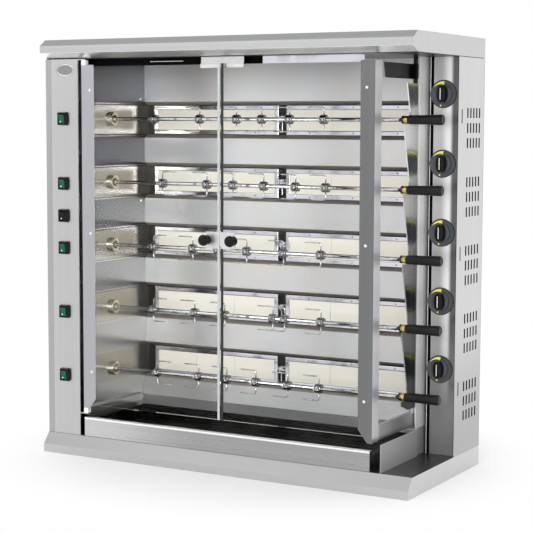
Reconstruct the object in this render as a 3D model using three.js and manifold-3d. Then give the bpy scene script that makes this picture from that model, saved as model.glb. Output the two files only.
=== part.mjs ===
// Gas rotisserie oven: five spits turn in front of ten ceramic burners, behind a pair of glass doors.
// Millimetres. +X is the cook's right, +Y the back, +Z up.
// The origin is the middle of the plinth's underside.
import * as THREE from 'three';
import { mergeVertices } from 'three/addons/utils/BufferGeometryUtils.js';
import Module from 'manifold-3d';

// ---------------------------------------------------------------- driving dimensions
const WIDTH = 1175;
const DEPTH = 490;
const HEIGHT = 1205;
const SHEET = 1.5; // steel sheet of every folded panel
const TOUCH = 0.3; // gap left between pieces that touch
const SLIP = 1; // running gap around pieces that turn

const PLINTH_HEIGHT = 55;
const PLINTH_KICK = 23; // upright part of the plinth's front
const FACE_SETBACK = 27; // cabinet front behind the plinth's and hood's front
const HOOD_HEIGHT = 54;
const HOOD_BROW = 18; // drop of the hood's upper slope
const HOOD_TOP_SETBACK = 26;
const HOOD_CHIN = 15; // height of the hood's lower slope
const HOOD_CHIN_SETBACK = 30;
const CEILING_SHEET = 1.2;

const COLUMN_WIDTH = 114; // switch column on the left
const COLUMN_CORNER = 19.5; // front return of the left side panel
const NICHE_WIDTH = 98; // open corner on the right, where the spit handles are
const NICHE_DEPTH = 288; // cabinet front to the knob panel
const REAR_BAY = 103; // space between the cavity's back and the rear cover

const SPIT_COUNT = 5;
const SPIT_BOTTOM_ROOM = 176; // plinth top to the lowest spit
const SPIT_TOP_ROOM = 170.5; // highest spit to the ceiling
const SPIT_SETBACK = 168; // cabinet front to the spits
const SPIT_RADIUS = 5.5;
const HUB_RADIUS = 10;
const HUB_STICK_OUT = 18;
const HUB_FLANGE_RADIUS = 21;
const HUB_FLANGE_THICKNESS = 10;
const SPIT_ENGAGEMENT = 10;

const FORK_COLLAR_RADIUS = 13;
const FORK_COLLAR_LENGTH = 20;
const FORK_REACH = 34; // rod axis to each prong
const FORK_PRONG = 4;
const FORK_PRONG_LENGTH = 52;
const THUMB_SCREW_RADIUS = 4;
const THUMB_SCREW_REACH = 24;
// Where the six forks of each spit are clamped, from the top spit down, as distances from the left wall.
const FORK_STATIONS = [
  [152, 307, 430, 512, 601, 708],
  [179, 331, 418, 519, 621, 715],
  [147, 283, 368, 464, 584, 701],
  [146, 289, 391, 550, 588, 703],
  [159, 303, 398, 495, 599, 698],
];

const HANDLE_LENGTH = 100;
const HANDLE_NECK_RADIUS = 12;
const HANDLE_END_RADIUS = 14;
const HANDLE_ROUNDING = 3;
const FERRULE_LENGTH = 19;
const FERRULE_RADIUS = 11;

const RACK_THICKNESS = 3;
const RACK_FRONT = 23; // rack's shelf tips in front of the spits
const RACK_NECK = 21; // rack's narrowest place behind the spits
const RACK_BACK = 73; // rack's back edge behind the spits
const RACK_SHELF_RISE = 10; // gap between a shelf's back and the slope above it
const RACK_HEADROOM = 97; // top of the rack above the highest spit
const RACK_TAIL = 39; // bottom of the rack below the lowest spit

const BURNER_RISE = 2; // middle burner above the middle spit
const BURNER_SPREAD = -2; // burners' pitch beyond the spits' pitch
const BURNER_HEIGHT = 86;
const BURNER_THICKNESS = 14;
const BURNER_LIP = 12;
const BURNER_POCKET = 2.5;
const BURNER_MID_GAP = 26;
const BURNER_END_GAP = 33;
const REFLECTOR_RIDGE = 20; // how far the panels between the burners stand out
const REFLECTOR_SLANT = 12;

const DOOR_LEFT_GAP = 12;
const DOOR_RIGHT_GAP = 18;
const DOOR_MID_GAP = 4;
const DOOR_TOP_GAP = 19;
const DOOR_BOTTOM = 131;
const DOOR_SHEET = 2;
const POST_WIDTH = 42;
const LEFT_FLANGE = 27; // depth of each post's outer flange
const RIGHT_FLANGE = 40;
const POST_CHAMFER_WIDTH = 28;
const POST_CHAMFER_HEIGHT = 36;
const GLASS_THICKNESS = 5;
const GLASS_BOTTOM_GAP = 17; // bottom of the glass above the bottom of the post
const SEAL_WIDTH = 7;
const ARM_HEIGHT = 40;
const ARM_THICKNESS = 10;
const ARM_LIFT = 3; // arm's underside above the post's lower end
const PIVOT_RADIUS = 6;
const PIVOT_ROOM = 48; // right door's pivot to the knob panel
const PIVOT_TAIL = 16; // pin beyond the arm
const PIVOT_SHELF = 3; // bracket under the right door's lower pin
const LOW_WALL_JOGGLE = 6.5; // low wall beside the tray, outside the partition
const LEDGE = [12.5, 18]; // rail along the left wall, above the tray
const LEDGE_DEPTH = 284;
const LEDGE_RISE = 61; // plinth top to the rail
const HINGE_BLOCK = 14;
const HINGE_LUG = 3;

const DOOR_KNOB_RADIUS = 15.5;
const DOOR_KNOB_NECK = 10;
const DOOR_KNOB_LENGTH = 30;
const DOOR_KNOB_OFFSET = 42; // knob centre to the gap between the doors
const DOOR_KNOB_HEIGHT = 648;
const DOOR_KNOB_PLATE = [46, 46];

const CATCH_HALF_WIDTH = 68;
const CATCH_HEIGHT = 19;
const CATCH_DEPTH = 12;
const CATCH_SETBACK = 12; // behind the cabinet front

const TRAY_HEIGHT = 55;
const TRAY_LEFT_GAP = 14;
const TRAY_RIGHT_GAP = 24;
const TRAY_LIP = 12;
const TRAY_REAR_HEIGHT = 45;
const TRAY_LENGTH = 313;

const SWITCH_INSET = 62; // cabinet's left side to the switches
const SWITCH_BEZEL = 38;
const SWITCH_BEZEL_CORNER = 8;
const SWITCH_BEZEL_BASE = 3; // thickness of the bezel's flange
const SWITCH_ROCKER = [19, 27];
const SWITCH_BEZEL_PROUD = 11; // collar in front of the cabinet front
const SWITCH_COLLAR = 3; // wall around the rocker
const SWITCH_PIVOT_PROUD = 5; // rocker's pivot in front of the cabinet front
const SWITCH_BODY = 8;
const SWITCH_TILT = THREE.MathUtils.degToRad(7);
const LIGHT_SWITCH_ROW = 1.5; // rows below the top spit

const KNOB_RISE = 67; // middle gas knob above the middle spit
const KNOB_SPREAD = 1.5; // gas knobs' pitch beyond the spits' pitch
const KNOB_CHANNEL = [20, 15]; // width and depth of the channel beside the knobs
const KNOB_BEZEL_RADIUS = 38;
const KNOB_BEZEL_THICKNESS = 2.5;
const KNOB_SKIRT_RADIUS = 25;
const KNOB_SKIRT_HEIGHT = 5;
const KNOB_GRIP = [30, 48, 18];
const KNOB_STEM_RADIUS = 4;
const KNOB_STEM_LENGTH = 14;

const MOTOR_SIZE = [60, 60, 70];
const MOTOR_RAIL = [3, 44]; // thickness and width
const MOTOR_BRACKET = 6;
const MOTOR_TO_HUB = 3;

const VALVE_SIZE = [36, 40, 34];
const VALVE_GAP = 3; // knob stem to the valve
const PIPE_RADIUS = 6;
const HEADER_RADIUS = 9;
const PIPE_OFFSET = 12; // header and outlets either side of the valves' middle
const HEADER_SETBACK = 80; // knob panel to the gas header
const BRANCH_SETBACK = 53; // cavity's back to the branch pipes
const HEADER_OVERRUN = 40;

const VENT_GROUPS = SPIT_COUNT;
const VENT_ROWS = 3;
const VENT_COLUMNS = 5;
const VENT_SLOT = [9, 27];
const VENT_ROW_PITCH = 41;
const VENT_COLUMN_PITCH = 21.5;
const VENT_FRONT = 54; // knob panel to the first column
const VENT_RISE = -25.5; // middle vent group above the middle spit
const VENT_SPREAD = 1.8; // vent groups' pitch beyond the spits' pitch
const SINGLE_SLOT = [6, 38];
const SINGLE_SLOT_FRONT = 13;
const SINGLE_SLOT_RISE = 10;
const SIDE_PANEL_LIP = 13; // side panel's front edge in front of the knob panel

// ---------------------------------------------------------------- derived places
const HALF_WIDTH = WIDTH / 2;
const FRONT = -DEPTH / 2;
const REAR = DEPTH / 2;
const FACE = FRONT + FACE_SETBACK;
const HOOD_BOTTOM = HEIGHT - HOOD_HEIGHT;
const CEILING_TOP = HOOD_BOTTOM - TOUCH;
const CEILING_BOTTOM = CEILING_TOP - CEILING_SHEET;
const WALL_BOTTOM = PLINTH_HEIGHT + TOUCH;
const WALL_TOP = CEILING_BOTTOM - TOUCH;
const CAVITY_LEFT = -HALF_WIDTH + COLUMN_WIDTH + SHEET;
const CAVITY_RIGHT = HALF_WIDTH - NICHE_WIDTH - SHEET;
const CAVITY_MIDDLE = (CAVITY_LEFT + CAVITY_RIGHT) / 2;
const CAVITY_BACK = REAR - REAR_BAY;
const KNOB_PANEL_FACE = FACE + NICHE_DEPTH;
const SPIT_Y = FACE + SPIT_SETBACK;
const TOP_SPIT = CEILING_BOTTOM - SPIT_TOP_ROOM;
const SPIT_PITCH = (TOP_SPIT - PLINTH_HEIGHT - SPIT_BOTTOM_ROOM) / (SPIT_COUNT - 1);
const MIDDLE_ROW = (SPIT_COUNT - 1) / 2;
const DOOR_LEFT = CAVITY_LEFT + DOOR_LEFT_GAP;
const DOOR_RIGHT = CAVITY_RIGHT - DOOR_RIGHT_GAP;
const DOOR_MIDDLE = (DOOR_LEFT + DOOR_RIGHT) / 2;
const DOOR_TOP = HOOD_BOTTOM - DOOR_TOP_GAP;
const GLASS_FRONT = FACE + DOOR_SHEET + TOUCH;
const GLASS_BACK = GLASS_FRONT + GLASS_THICKNESS;
const PIVOT_Y = KNOB_PANEL_FACE - PIVOT_ROOM;
const PIVOT_X = DOOR_RIGHT + PIVOT_RADIUS;
const LOW_WALL = CAVITY_RIGHT + LOW_WALL_JOGGLE;
const LOW_WALL_TOP = DOOR_BOTTOM - TOUCH;
const RACK_RIGHT = CAVITY_RIGHT - TOUCH;
const RACK_LEFT = RACK_RIGHT - RACK_THICKNESS;
const HANDLE_START = CAVITY_RIGHT + SHEET + TOUCH;
const KNOB_X = (CAVITY_RIGHT + SHEET + HALF_WIDTH) / 2;
const KNOB_Y = KNOB_PANEL_FACE - KNOB_BEZEL_THICKNESS - TOUCH;
const BRANCH_Y = CAVITY_BACK + BRANCH_SETBACK;
const BURNER_LENGTH = (CAVITY_RIGHT - CAVITY_LEFT - 2 * BURNER_END_GAP - BURNER_MID_GAP) / 2;
const LEAF_WIDTH = (DOOR_RIGHT - DOOR_LEFT - DOOR_MID_GAP) / 2;
const SWITCH_LEFT = -HALF_WIDTH + COLUMN_CORNER + TOUCH;
const SWITCH_RIGHT = -HALF_WIDTH + COLUMN_WIDTH;
const SWITCH_X = -HALF_WIDTH + SWITCH_INSET;
const SWITCH_PIVOT_Y = FACE - SWITCH_PIVOT_PROUD;
const REFLECTOR_BOTTOM = burnerHeight(SPIT_COUNT - 1) - BURNER_HEIGHT / 2 - REFLECTOR_SLANT;

function spitHeight(row) {
  return TOP_SPIT - row * SPIT_PITCH;
}

function rowHeight(row, rise, spread) {
  return spitHeight(MIDDLE_ROW) + rise + (MIDDLE_ROW - row) * (SPIT_PITCH + spread);
}

function burnerHeight(row) {
  return rowHeight(row, BURNER_RISE, BURNER_SPREAD);
}

function knobHeight(row) {
  return rowHeight(row, KNOB_RISE, KNOB_SPREAD);
}

// ---------------------------------------------------------------- materials
function material(color, roughness, metalness, extra = {}) {
  return new THREE.MeshStandardMaterial({ color, roughness, metalness, ...extra });
}

const brushedSteel = () => material(0xc4c4c8, 0.38, 0.9);
const polishedSteel = () => material(0xa9abb0, 0.16, 1);
const darkSteel = () => material(0x55565a, 0.3, 0.95);
const chrome = () => material(0xd6d6d8, 0.15, 1);
const brass = () => material(0xb58a3c, 0.3, 1);
const ceramic = () => material(0xf2e6cf, 0.85, 0);
const blackPlastic = () => material(0x141416, 0.45, 0);
const greenPlastic = () => material(0x3fae5a, 0.3, 0);
const blackRubber = () => material(0x1b1b1d, 0.8, 0);
const clearGlass = () => material(0xe8f0f0, 0.05, 0, { transparent: true, opacity: 0.2 });

// ---------------------------------------------------------------- solid helpers
const wasm = await Module();
wasm.setup();

function solidOf(geometry) {
  const bare = geometry.clone();
  bare.deleteAttribute('normal');
  bare.deleteAttribute('uv');
  const merged = mergeVertices(bare, 1e-4);
  const mesh = new wasm.Mesh({
    numProp: 3,
    vertProperties: new Float32Array(merged.attributes.position.array),
    triVerts: new Uint32Array(merged.index.array),
  });
  return new wasm.Manifold(mesh);
}

function geometryOf(solid) {
  const mesh = solid.getMesh();
  const indexed = new THREE.BufferGeometry();
  indexed.setAttribute('position', new THREE.BufferAttribute(new Float32Array(mesh.vertProperties), 3));
  indexed.setIndex(new THREE.BufferAttribute(new Uint32Array(mesh.triVerts), 1));
  const faceted = indexed.toNonIndexed();
  faceted.computeVertexNormals();
  return faceted;
}

function block([x0, x1], [y0, y1], [z0, z1]) {
  const geometry = new THREE.BoxGeometry(x1 - x0, y1 - y0, z1 - z0);
  geometry.translate((x0 + x1) / 2, (y0 + y1) / 2, (z0 + z1) / 2);
  return solidOf(geometry);
}

function extruded(points, depth, basis) {
  const shape = new THREE.Shape(points.map(([u, v]) => new THREE.Vector2(u, v)));
  const geometry = new THREE.ExtrudeGeometry(shape, { depth, bevelEnabled: false });
  geometry.applyMatrix4(basis);
  return solidOf(geometry);
}

// A profile drawn in Y and Z, pulled along X.
function pulledAlongX(points, [x0, x1]) {
  const basis = new THREE.Matrix4().makeBasis(
    new THREE.Vector3(0, 1, 0),
    new THREE.Vector3(0, 0, 1),
    new THREE.Vector3(1, 0, 0),
  );
  basis.setPosition(x0, 0, 0);
  return extruded(points, x1 - x0, basis);
}

// A profile drawn in X and Z, pulled along Y.
function pulledAlongY(points, [y0, y1]) {
  const basis = new THREE.Matrix4().makeBasis(
    new THREE.Vector3(1, 0, 0),
    new THREE.Vector3(0, 0, 1),
    new THREE.Vector3(0, -1, 0),
  );
  basis.setPosition(0, y1, 0);
  return extruded(points, y1 - y0, basis);
}

function turnedAlongX(radius, [x0, x1], segments = 16) {
  const geometry = new THREE.CylinderGeometry(radius, radius, x1 - x0, segments);
  geometry.rotateZ(-Math.PI / 2);
  geometry.translate((x0 + x1) / 2, 0, 0);
  return solidOf(geometry);
}

function turnedAlongY(radius, [y0, y1], segments = 24) {
  const geometry = new THREE.CylinderGeometry(radius, radius, y1 - y0, segments);
  geometry.translate(0, (y0 + y1) / 2, 0);
  return solidOf(geometry);
}

function turnedAlongZ(radius, [z0, z1], segments = 16) {
  const geometry = new THREE.CylinderGeometry(radius, radius, z1 - z0, segments);
  geometry.rotateX(Math.PI / 2);
  geometry.translate(0, 0, (z0 + z1) / 2);
  return solidOf(geometry);
}

function joined(solids) {
  return solids.reduce((whole, solid) => whole.add(solid));
}

const oven = new THREE.Group();

function addPiece(name, solid, surface, place = [0, 0, 0]) {
  const mesh = new THREE.Mesh(geometryOf(solid), surface);
  mesh.name = name;
  mesh.position.set(...place);
  oven.add(mesh);
}

// ---------------------------------------------------------------- cabinet
function plinth() {
  const outer = [
    [FRONT, 0],
    [REAR, 0],
    [REAR, PLINTH_HEIGHT],
    [FRONT + FACE_SETBACK - SHEET, PLINTH_HEIGHT],
    [FRONT, PLINTH_KICK],
  ];
  const inner = [
    [FRONT + SHEET, SHEET],
    [REAR + SHEET, SHEET],
    [REAR + SHEET, PLINTH_HEIGHT - SHEET],
    [FRONT + FACE_SETBACK, PLINTH_HEIGHT - SHEET],
    [FRONT + SHEET, PLINTH_KICK],
  ];
  const shell = pulledAlongX(outer, [-HALF_WIDTH, HALF_WIDTH]);
  const hollow = pulledAlongX(inner, [-HALF_WIDTH + SHEET, HALF_WIDTH - SHEET]);
  return shell.subtract(hollow);
}

function hoodCanopy() {
  const outer = [
    [FRONT + HOOD_CHIN_SETBACK, HOOD_BOTTOM],
    [REAR, HOOD_BOTTOM],
    [REAR, HEIGHT],
    [FRONT + HOOD_TOP_SETBACK, HEIGHT],
    [FRONT, HEIGHT - HOOD_BROW],
    [FRONT, HOOD_BOTTOM + HOOD_CHIN],
  ];
  const inner = [
    [FRONT + HOOD_CHIN_SETBACK + 2 * SHEET, HOOD_BOTTOM - SHEET],
    [REAR - SHEET, HOOD_BOTTOM - SHEET],
    [REAR - SHEET, HEIGHT - SHEET],
    [FRONT + HOOD_TOP_SETBACK + SHEET, HEIGHT - SHEET],
    [FRONT + SHEET, HEIGHT - HOOD_BROW - SHEET],
    [FRONT + SHEET, HOOD_BOTTOM + HOOD_CHIN + SHEET],
  ];
  const shell = pulledAlongX(outer, [-HALF_WIDTH, HALF_WIDTH]);
  const hollow = pulledAlongX(inner, [-HALF_WIDTH + SHEET, HALF_WIDTH - SHEET]);
  return shell.subtract(hollow);
}

// The ceiling carries the doors' catch at its front.
function cavityCeiling() {
  const sides = [-HALF_WIDTH + SHEET, HALF_WIDTH - SHEET];
  const frontEdge = FRONT + HOOD_CHIN_SETBACK + SHEET;
  const ceiling = block(sides, [frontEdge, REAR - SHEET], [CEILING_BOTTOM, CEILING_TOP]);
  const across = [DOOR_MIDDLE - CATCH_HALF_WIDTH, DOOR_MIDDLE + CATCH_HALF_WIDTH];
  const along = [FACE + CATCH_SETBACK, FACE + CATCH_SETBACK + CATCH_DEPTH];
  return ceiling.add(block(across, along, [CEILING_BOTTOM - CATCH_HEIGHT, CEILING_TOP]));
}

function leftSidePanel() {
  const height = [WALL_BOTTOM, WALL_TOP];
  const side = block([-HALF_WIDTH, -HALF_WIDTH + SHEET], [FACE, REAR - SHEET - TOUCH], height);
  const corner = block([-HALF_WIDTH, -HALF_WIDTH + COLUMN_CORNER], [FACE, FACE + SHEET], height);
  return side.add(corner);
}

function switchHeights() {
  const heights = [LIGHT_SWITCH_ROW];
  for (let row = 0; row < SPIT_COUNT; row += 1) {
    heights.push(row);
  }
  return heights.map(spitHeight);
}

// A flange with cut corners, and a collar that stands out around the rocker.
function switchBezel() {
  const half = SWITCH_BEZEL / 2;
  const cut = half - SWITCH_BEZEL_CORNER;
  const [collarWidth, collarHeight] = SWITCH_ROCKER.map((size) => size / 2 + SLIP + SWITCH_COLLAR);
  const outline = [
    [half, -cut],
    [half, cut],
    [cut, half],
    [-cut, half],
    [-half, cut],
    [-half, -cut],
    [-cut, -half],
    [cut, -half],
  ];
  const flange = pulledAlongY(outline, [-SWITCH_BEZEL_BASE, SHEET]);
  const collarSides = [-collarWidth, collarWidth];
  return flange.add(block(collarSides, [-SWITCH_BEZEL_PROUD, SHEET], [-collarHeight, collarHeight]));
}

function switchOpening() {
  const [halfWidth, half] = SWITCH_ROCKER.map((size) => size / 2 + SLIP);
  return block([-halfWidth, halfWidth], [-SWITCH_BEZEL, SWITCH_BEZEL], [-half, half]);
}

function switchPanel() {
  const height = [WALL_BOTTOM, WALL_TOP];
  let panel = block([SWITCH_LEFT, SWITCH_RIGHT], [FACE, FACE + SHEET], height);
  panel = panel.add(block([SWITCH_RIGHT - SHEET, SWITCH_RIGHT], [FACE, FACE + LEFT_FLANGE], height));
  const lugSides = [SWITCH_RIGHT - SHEET, DOOR_LEFT + HINGE_BLOCK];
  const lowLug = [DOOR_BOTTOM - HINGE_BLOCK / 2 - TOUCH - HINGE_LUG, DOOR_BOTTOM - HINGE_BLOCK / 2 - TOUCH];
  const highLug = [WALL_TOP - HINGE_LUG, WALL_TOP];
  for (const lug of [lowLug, highLug]) {
    panel = panel.add(block(lugSides, [FACE, FACE + HINGE_BLOCK], lug));
  }
  for (const z of switchHeights()) {
    const place = [SWITCH_X, FACE, z];
    panel = panel.add(switchBezel().translate(place)).subtract(switchOpening().translate(place));
  }
  return panel;
}

function rockerSwitch() {
  const [halfWidth, half] = SWITCH_ROCKER.map((size) => size / 2);
  const proud = SWITCH_BEZEL_PROUD + SHEET - SWITCH_PIVOT_PROUD;
  const profile = [
    [SWITCH_BODY, -half + SLIP],
    [SWITCH_BODY, half - SLIP],
    [-proud, half - SLIP],
    [-proud + SHEET, 0],
    [-proud, -half + SLIP],
  ];
  return pulledAlongX(profile, [-halfWidth, halfWidth]).rotate([THREE.MathUtils.radToDeg(SWITCH_TILT), 0, 0]);
}

function leftInnerWall() {
  const front = FACE + LEFT_FLANGE + TOUCH;
  const back = REAR - SHEET - TOUCH;
  let wall = block([CAVITY_LEFT - SHEET, CAVITY_LEFT], [front, back], [WALL_BOTTOM, WALL_TOP]);
  const ledgeSides = [CAVITY_LEFT - SHEET, CAVITY_LEFT + LEDGE[0]];
  const ledgeBottom = PLINTH_HEIGHT + LEDGE_RISE;
  const ledgeSpan = [ledgeBottom, ledgeBottom + LEDGE[1]];
  wall = wall.add(block(ledgeSides, [front + SLIP, front + SLIP + LEDGE_DEPTH], ledgeSpan));
  for (let row = 0; row < SPIT_COUNT; row += 1) {
    const place = [0, SPIT_Y, spitHeight(row)];
    const flangeSpan = [CAVITY_LEFT - SHEET, CAVITY_LEFT + HUB_FLANGE_THICKNESS];
    const holeSpan = [CAVITY_LEFT - HUB_RADIUS, CAVITY_LEFT + HUB_RADIUS];
    wall = wall.add(turnedAlongX(HUB_FLANGE_RADIUS, flangeSpan, 24).translate(place));
    wall = wall.subtract(turnedAlongX(HUB_RADIUS + SLIP, holeSpan, 24).translate(place));
  }
  return wall;
}

// Full height behind the right door's pins. Beside the tray it is low, and stands further out.
function rightPartition() {
  const front = PIVOT_Y - SHEET;
  const back = REAR - SHEET - TOUCH;
  const low = [WALL_BOTTOM, LOW_WALL_TOP];
  const shelfSides = [PIVOT_X - 2 * PIVOT_RADIUS, LOW_WALL + SHEET];
  const shelfDepth = [PIVOT_Y - PIVOT_RADIUS, PIVOT_Y + PIVOT_RADIUS];
  let wall = joined([
    block([CAVITY_RIGHT, CAVITY_RIGHT + SHEET], [front, back], [WALL_BOTTOM, WALL_TOP]),
    block([CAVITY_RIGHT, LOW_WALL + SHEET], [front, front + SHEET], low),
    block([LOW_WALL, LOW_WALL + SHEET], [FACE, front + SHEET], low),
    block(shelfSides, shelfDepth, [LOW_WALL_TOP - PIVOT_SHELF, LOW_WALL_TOP]),
  ]);
  for (let row = 0; row < SPIT_COUNT; row += 1) {
    const hole = turnedAlongX(PIPE_RADIUS + SLIP, [CAVITY_RIGHT - SHEET, CAVITY_RIGHT + 2 * SHEET], 12);
    wall = wall.subtract(hole.translate([0, BRANCH_Y, branchHeight(row)]));
  }
  return wall;
}

// The panel is folded back into a channel on its left, with a rib standing in the middle of it.
function knobPanel() {
  const left = CAVITY_RIGHT + SHEET + TOUCH;
  const right = HALF_WIDTH - SHEET - TOUCH;
  const height = [WALL_BOTTOM, WALL_TOP];
  const [channelWidth, channelDepth] = KNOB_CHANNEL;
  const channelFloor = KNOB_PANEL_FACE + channelDepth;
  const fold = [KNOB_PANEL_FACE, channelFloor + SHEET];
  const face = left + channelWidth;
  const rib = left + (channelWidth - SHEET) / 2;
  let panel = joined([
    block([face, right], [KNOB_PANEL_FACE, KNOB_PANEL_FACE + SHEET], height),
    block([face, face + SHEET], fold, height),
    block([rib, rib + SHEET], fold, height),
    block([left, face + SHEET], [channelFloor, channelFloor + SHEET], height),
  ]);
  for (let row = 0; row < SPIT_COUNT; row += 1) {
    const place = [KNOB_X, 0, knobHeight(row)];
    const disc = [KNOB_PANEL_FACE - KNOB_BEZEL_THICKNESS, KNOB_PANEL_FACE + SHEET];
    const hole = [KNOB_PANEL_FACE - KNOB_BEZEL_RADIUS, KNOB_PANEL_FACE + KNOB_BEZEL_RADIUS];
    panel = panel.add(turnedAlongY(KNOB_BEZEL_RADIUS, disc, 32).translate(place));
    panel = panel.subtract(turnedAlongY(KNOB_STEM_RADIUS + TOUCH, hole, 12).translate(place));
  }
  return panel;
}

function ventSlots() {
  const wallSpan = [HALF_WIDTH - 2 * SHEET, HALF_WIDTH + SHEET];
  const slots = [];
  for (let group = 0; group < VENT_GROUPS; group += 1) {
    const middle = rowHeight(group, VENT_RISE, VENT_SPREAD);
    for (let row = 0; row < VENT_ROWS; row += 1) {
      const z = middle + (row - (VENT_ROWS - 1) / 2) * VENT_ROW_PITCH;
      for (let column = 0; column < VENT_COLUMNS; column += 1) {
        const y = KNOB_PANEL_FACE + VENT_FRONT + column * VENT_COLUMN_PITCH;
        const along = [y - VENT_SLOT[0] / 2, y + VENT_SLOT[0] / 2];
        slots.push(block(wallSpan, along, [z - VENT_SLOT[1] / 2, z + VENT_SLOT[1] / 2]));
      }
    }
    if (group % 2 === 0) {
      const y = KNOB_PANEL_FACE + SINGLE_SLOT_FRONT;
      const z = spitHeight(group) + SINGLE_SLOT_RISE;
      const along = [y - SINGLE_SLOT[0] / 2, y + SINGLE_SLOT[0] / 2];
      slots.push(block(wallSpan, along, [z - SINGLE_SLOT[1] / 2, z + SINGLE_SLOT[1] / 2]));
    }
  }
  return joined(slots);
}

function rightSidePanel() {
  const along = [KNOB_PANEL_FACE - SIDE_PANEL_LIP, REAR - SHEET - TOUCH];
  return block([HALF_WIDTH - SHEET, HALF_WIDTH], along, [WALL_BOTTOM, WALL_TOP]).subtract(ventSlots());
}

function rearCover() {
  return block([-HALF_WIDTH, HALF_WIDTH], [REAR - SHEET, REAR], [WALL_BOTTOM, WALL_TOP]);
}

function spitRack() {
  const neck = SPIT_Y + RACK_NECK;
  const back = SPIT_Y + RACK_BACK;
  const tip = SPIT_Y - RACK_FRONT;
  const slope = (neck - tip) / (SPIT_PITCH - 2 * RACK_SHELF_RISE);
  const points = [[neck - slope * RACK_HEADROOM, spitHeight(0) + RACK_HEADROOM]];
  for (let row = 0; row < SPIT_COUNT; row += 1) {
    const shelf = spitHeight(row) - FERRULE_RADIUS - TOUCH;
    points.push([neck, shelf + RACK_SHELF_RISE]);
    points.push([neck, shelf]);
    points.push([tip, shelf]);
    points.push([tip, shelf - RACK_SHELF_RISE]);
  }
  points.push([neck, spitHeight(SPIT_COUNT - 1) - RACK_TAIL]);
  points.push([back, spitHeight(SPIT_COUNT - 1) - RACK_TAIL]);
  points.push([back, spitHeight(0) + RACK_HEADROOM]);
  return pulledAlongX(points, [RACK_LEFT, RACK_RIGHT]);
}

// Folded liner: a recess for each burner row, with a polished ridge above and below it.
function backReflector() {
  const ridge = CAVITY_BACK - REFLECTOR_RIDGE;
  const front = [[ridge, REFLECTOR_BOTTOM]];
  for (let row = SPIT_COUNT - 1; row >= 0; row -= 1) {
    const low = burnerHeight(row) - BURNER_HEIGHT / 2;
    const high = burnerHeight(row) + BURNER_HEIGHT / 2;
    if (row < SPIT_COUNT - 1) {
      front.push([ridge, low - REFLECTOR_SLANT]);
    }
    front.push([CAVITY_BACK, low - TOUCH]);
    front.push([CAVITY_BACK, high + TOUCH]);
    front.push([ridge, high + REFLECTOR_SLANT]);
  }
  front.push([ridge, WALL_TOP]);
  const back = front.map(([y, z]) => [y + SHEET, z]).reverse();
  return pulledAlongX([...front, ...back], [CAVITY_LEFT + TOUCH, CAVITY_RIGHT - TOUCH]);
}

function burner() {
  const half = BURNER_LENGTH / 2;
  const tall = BURNER_HEIGHT / 2;
  const frame = block([-half, half], [-BURNER_THICKNESS, 0], [-tall, tall]);
  const pocket = block(
    [-half + BURNER_LIP, half - BURNER_LIP],
    [-BURNER_THICKNESS - BURNER_POCKET, -BURNER_THICKNESS + BURNER_POCKET],
    [-tall + BURNER_LIP, tall - BURNER_LIP],
  );
  return frame.subtract(pocket);
}

// Bent sheet that leads fat from the reflector down behind the tray.
function dripDeflector() {
  const ridge = CAVITY_BACK - REFLECTOR_RIDGE;
  const fold = FACE + TRAY_LENGTH + 2 * SLIP;
  const foldHeight = (REFLECTOR_BOTTOM + WALL_BOTTOM) / 2 + BURNER_LIP;
  const front = [
    [fold, WALL_BOTTOM],
    [fold, foldHeight],
    [ridge, REFLECTOR_BOTTOM - TOUCH],
  ];
  const back = front.map(([y, z]) => [y + SHEET, z]).reverse();
  return pulledAlongX([...front, ...back], [CAVITY_LEFT + TOUCH, CAVITY_RIGHT - TOUCH]);
}

// ---------------------------------------------------------------- drive and gas
// Five gear motors on one rail, behind the left wall.
function gearMotors() {
  const [railThickness, railWidth] = MOTOR_RAIL;
  const railBack = CAVITY_LEFT - SHEET - TOUCH;
  const railSides = [railBack - railThickness, railBack];
  const [motorLength, motorWidth, motorHeight] = MOTOR_SIZE;
  const motorEnd = CAVITY_LEFT - HUB_STICK_OUT - MOTOR_TO_HUB;
  const half = motorHeight / 2;
  const railSpan = [spitHeight(SPIT_COUNT - 1) - half, spitHeight(0) + half];
  let assembly = block(railSides, [SPIT_Y - railWidth / 2, SPIT_Y + railWidth / 2], railSpan);
  for (let row = 0; row < SPIT_COUNT; row += 1) {
    const place = [0, SPIT_Y, spitHeight(row)];
    const holeSpan = [railSides[0] - SHEET, railSides[1] + SHEET];
    const body = block([motorEnd - motorLength, motorEnd], [-motorWidth / 2, motorWidth / 2], [-half, half]);
    const bracketSides = [motorEnd - MOTOR_BRACKET, railSides[0] + railThickness / 2];
    const brackets = [[-half, -half + MOTOR_BRACKET], [half - MOTOR_BRACKET, half]].map(
      (span) => block(bracketSides, [-railWidth / 2, railWidth / 2], span),
    );
    assembly = assembly.subtract(turnedAlongX(HUB_RADIUS + SLIP, holeSpan, 20).translate(place));
    assembly = assembly.add(joined([body, ...brackets]).translate(place));
  }
  return assembly;
}

function branchHeight(row) {
  return knobHeight(row) - VALVE_SIZE[2] / 4;
}

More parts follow.
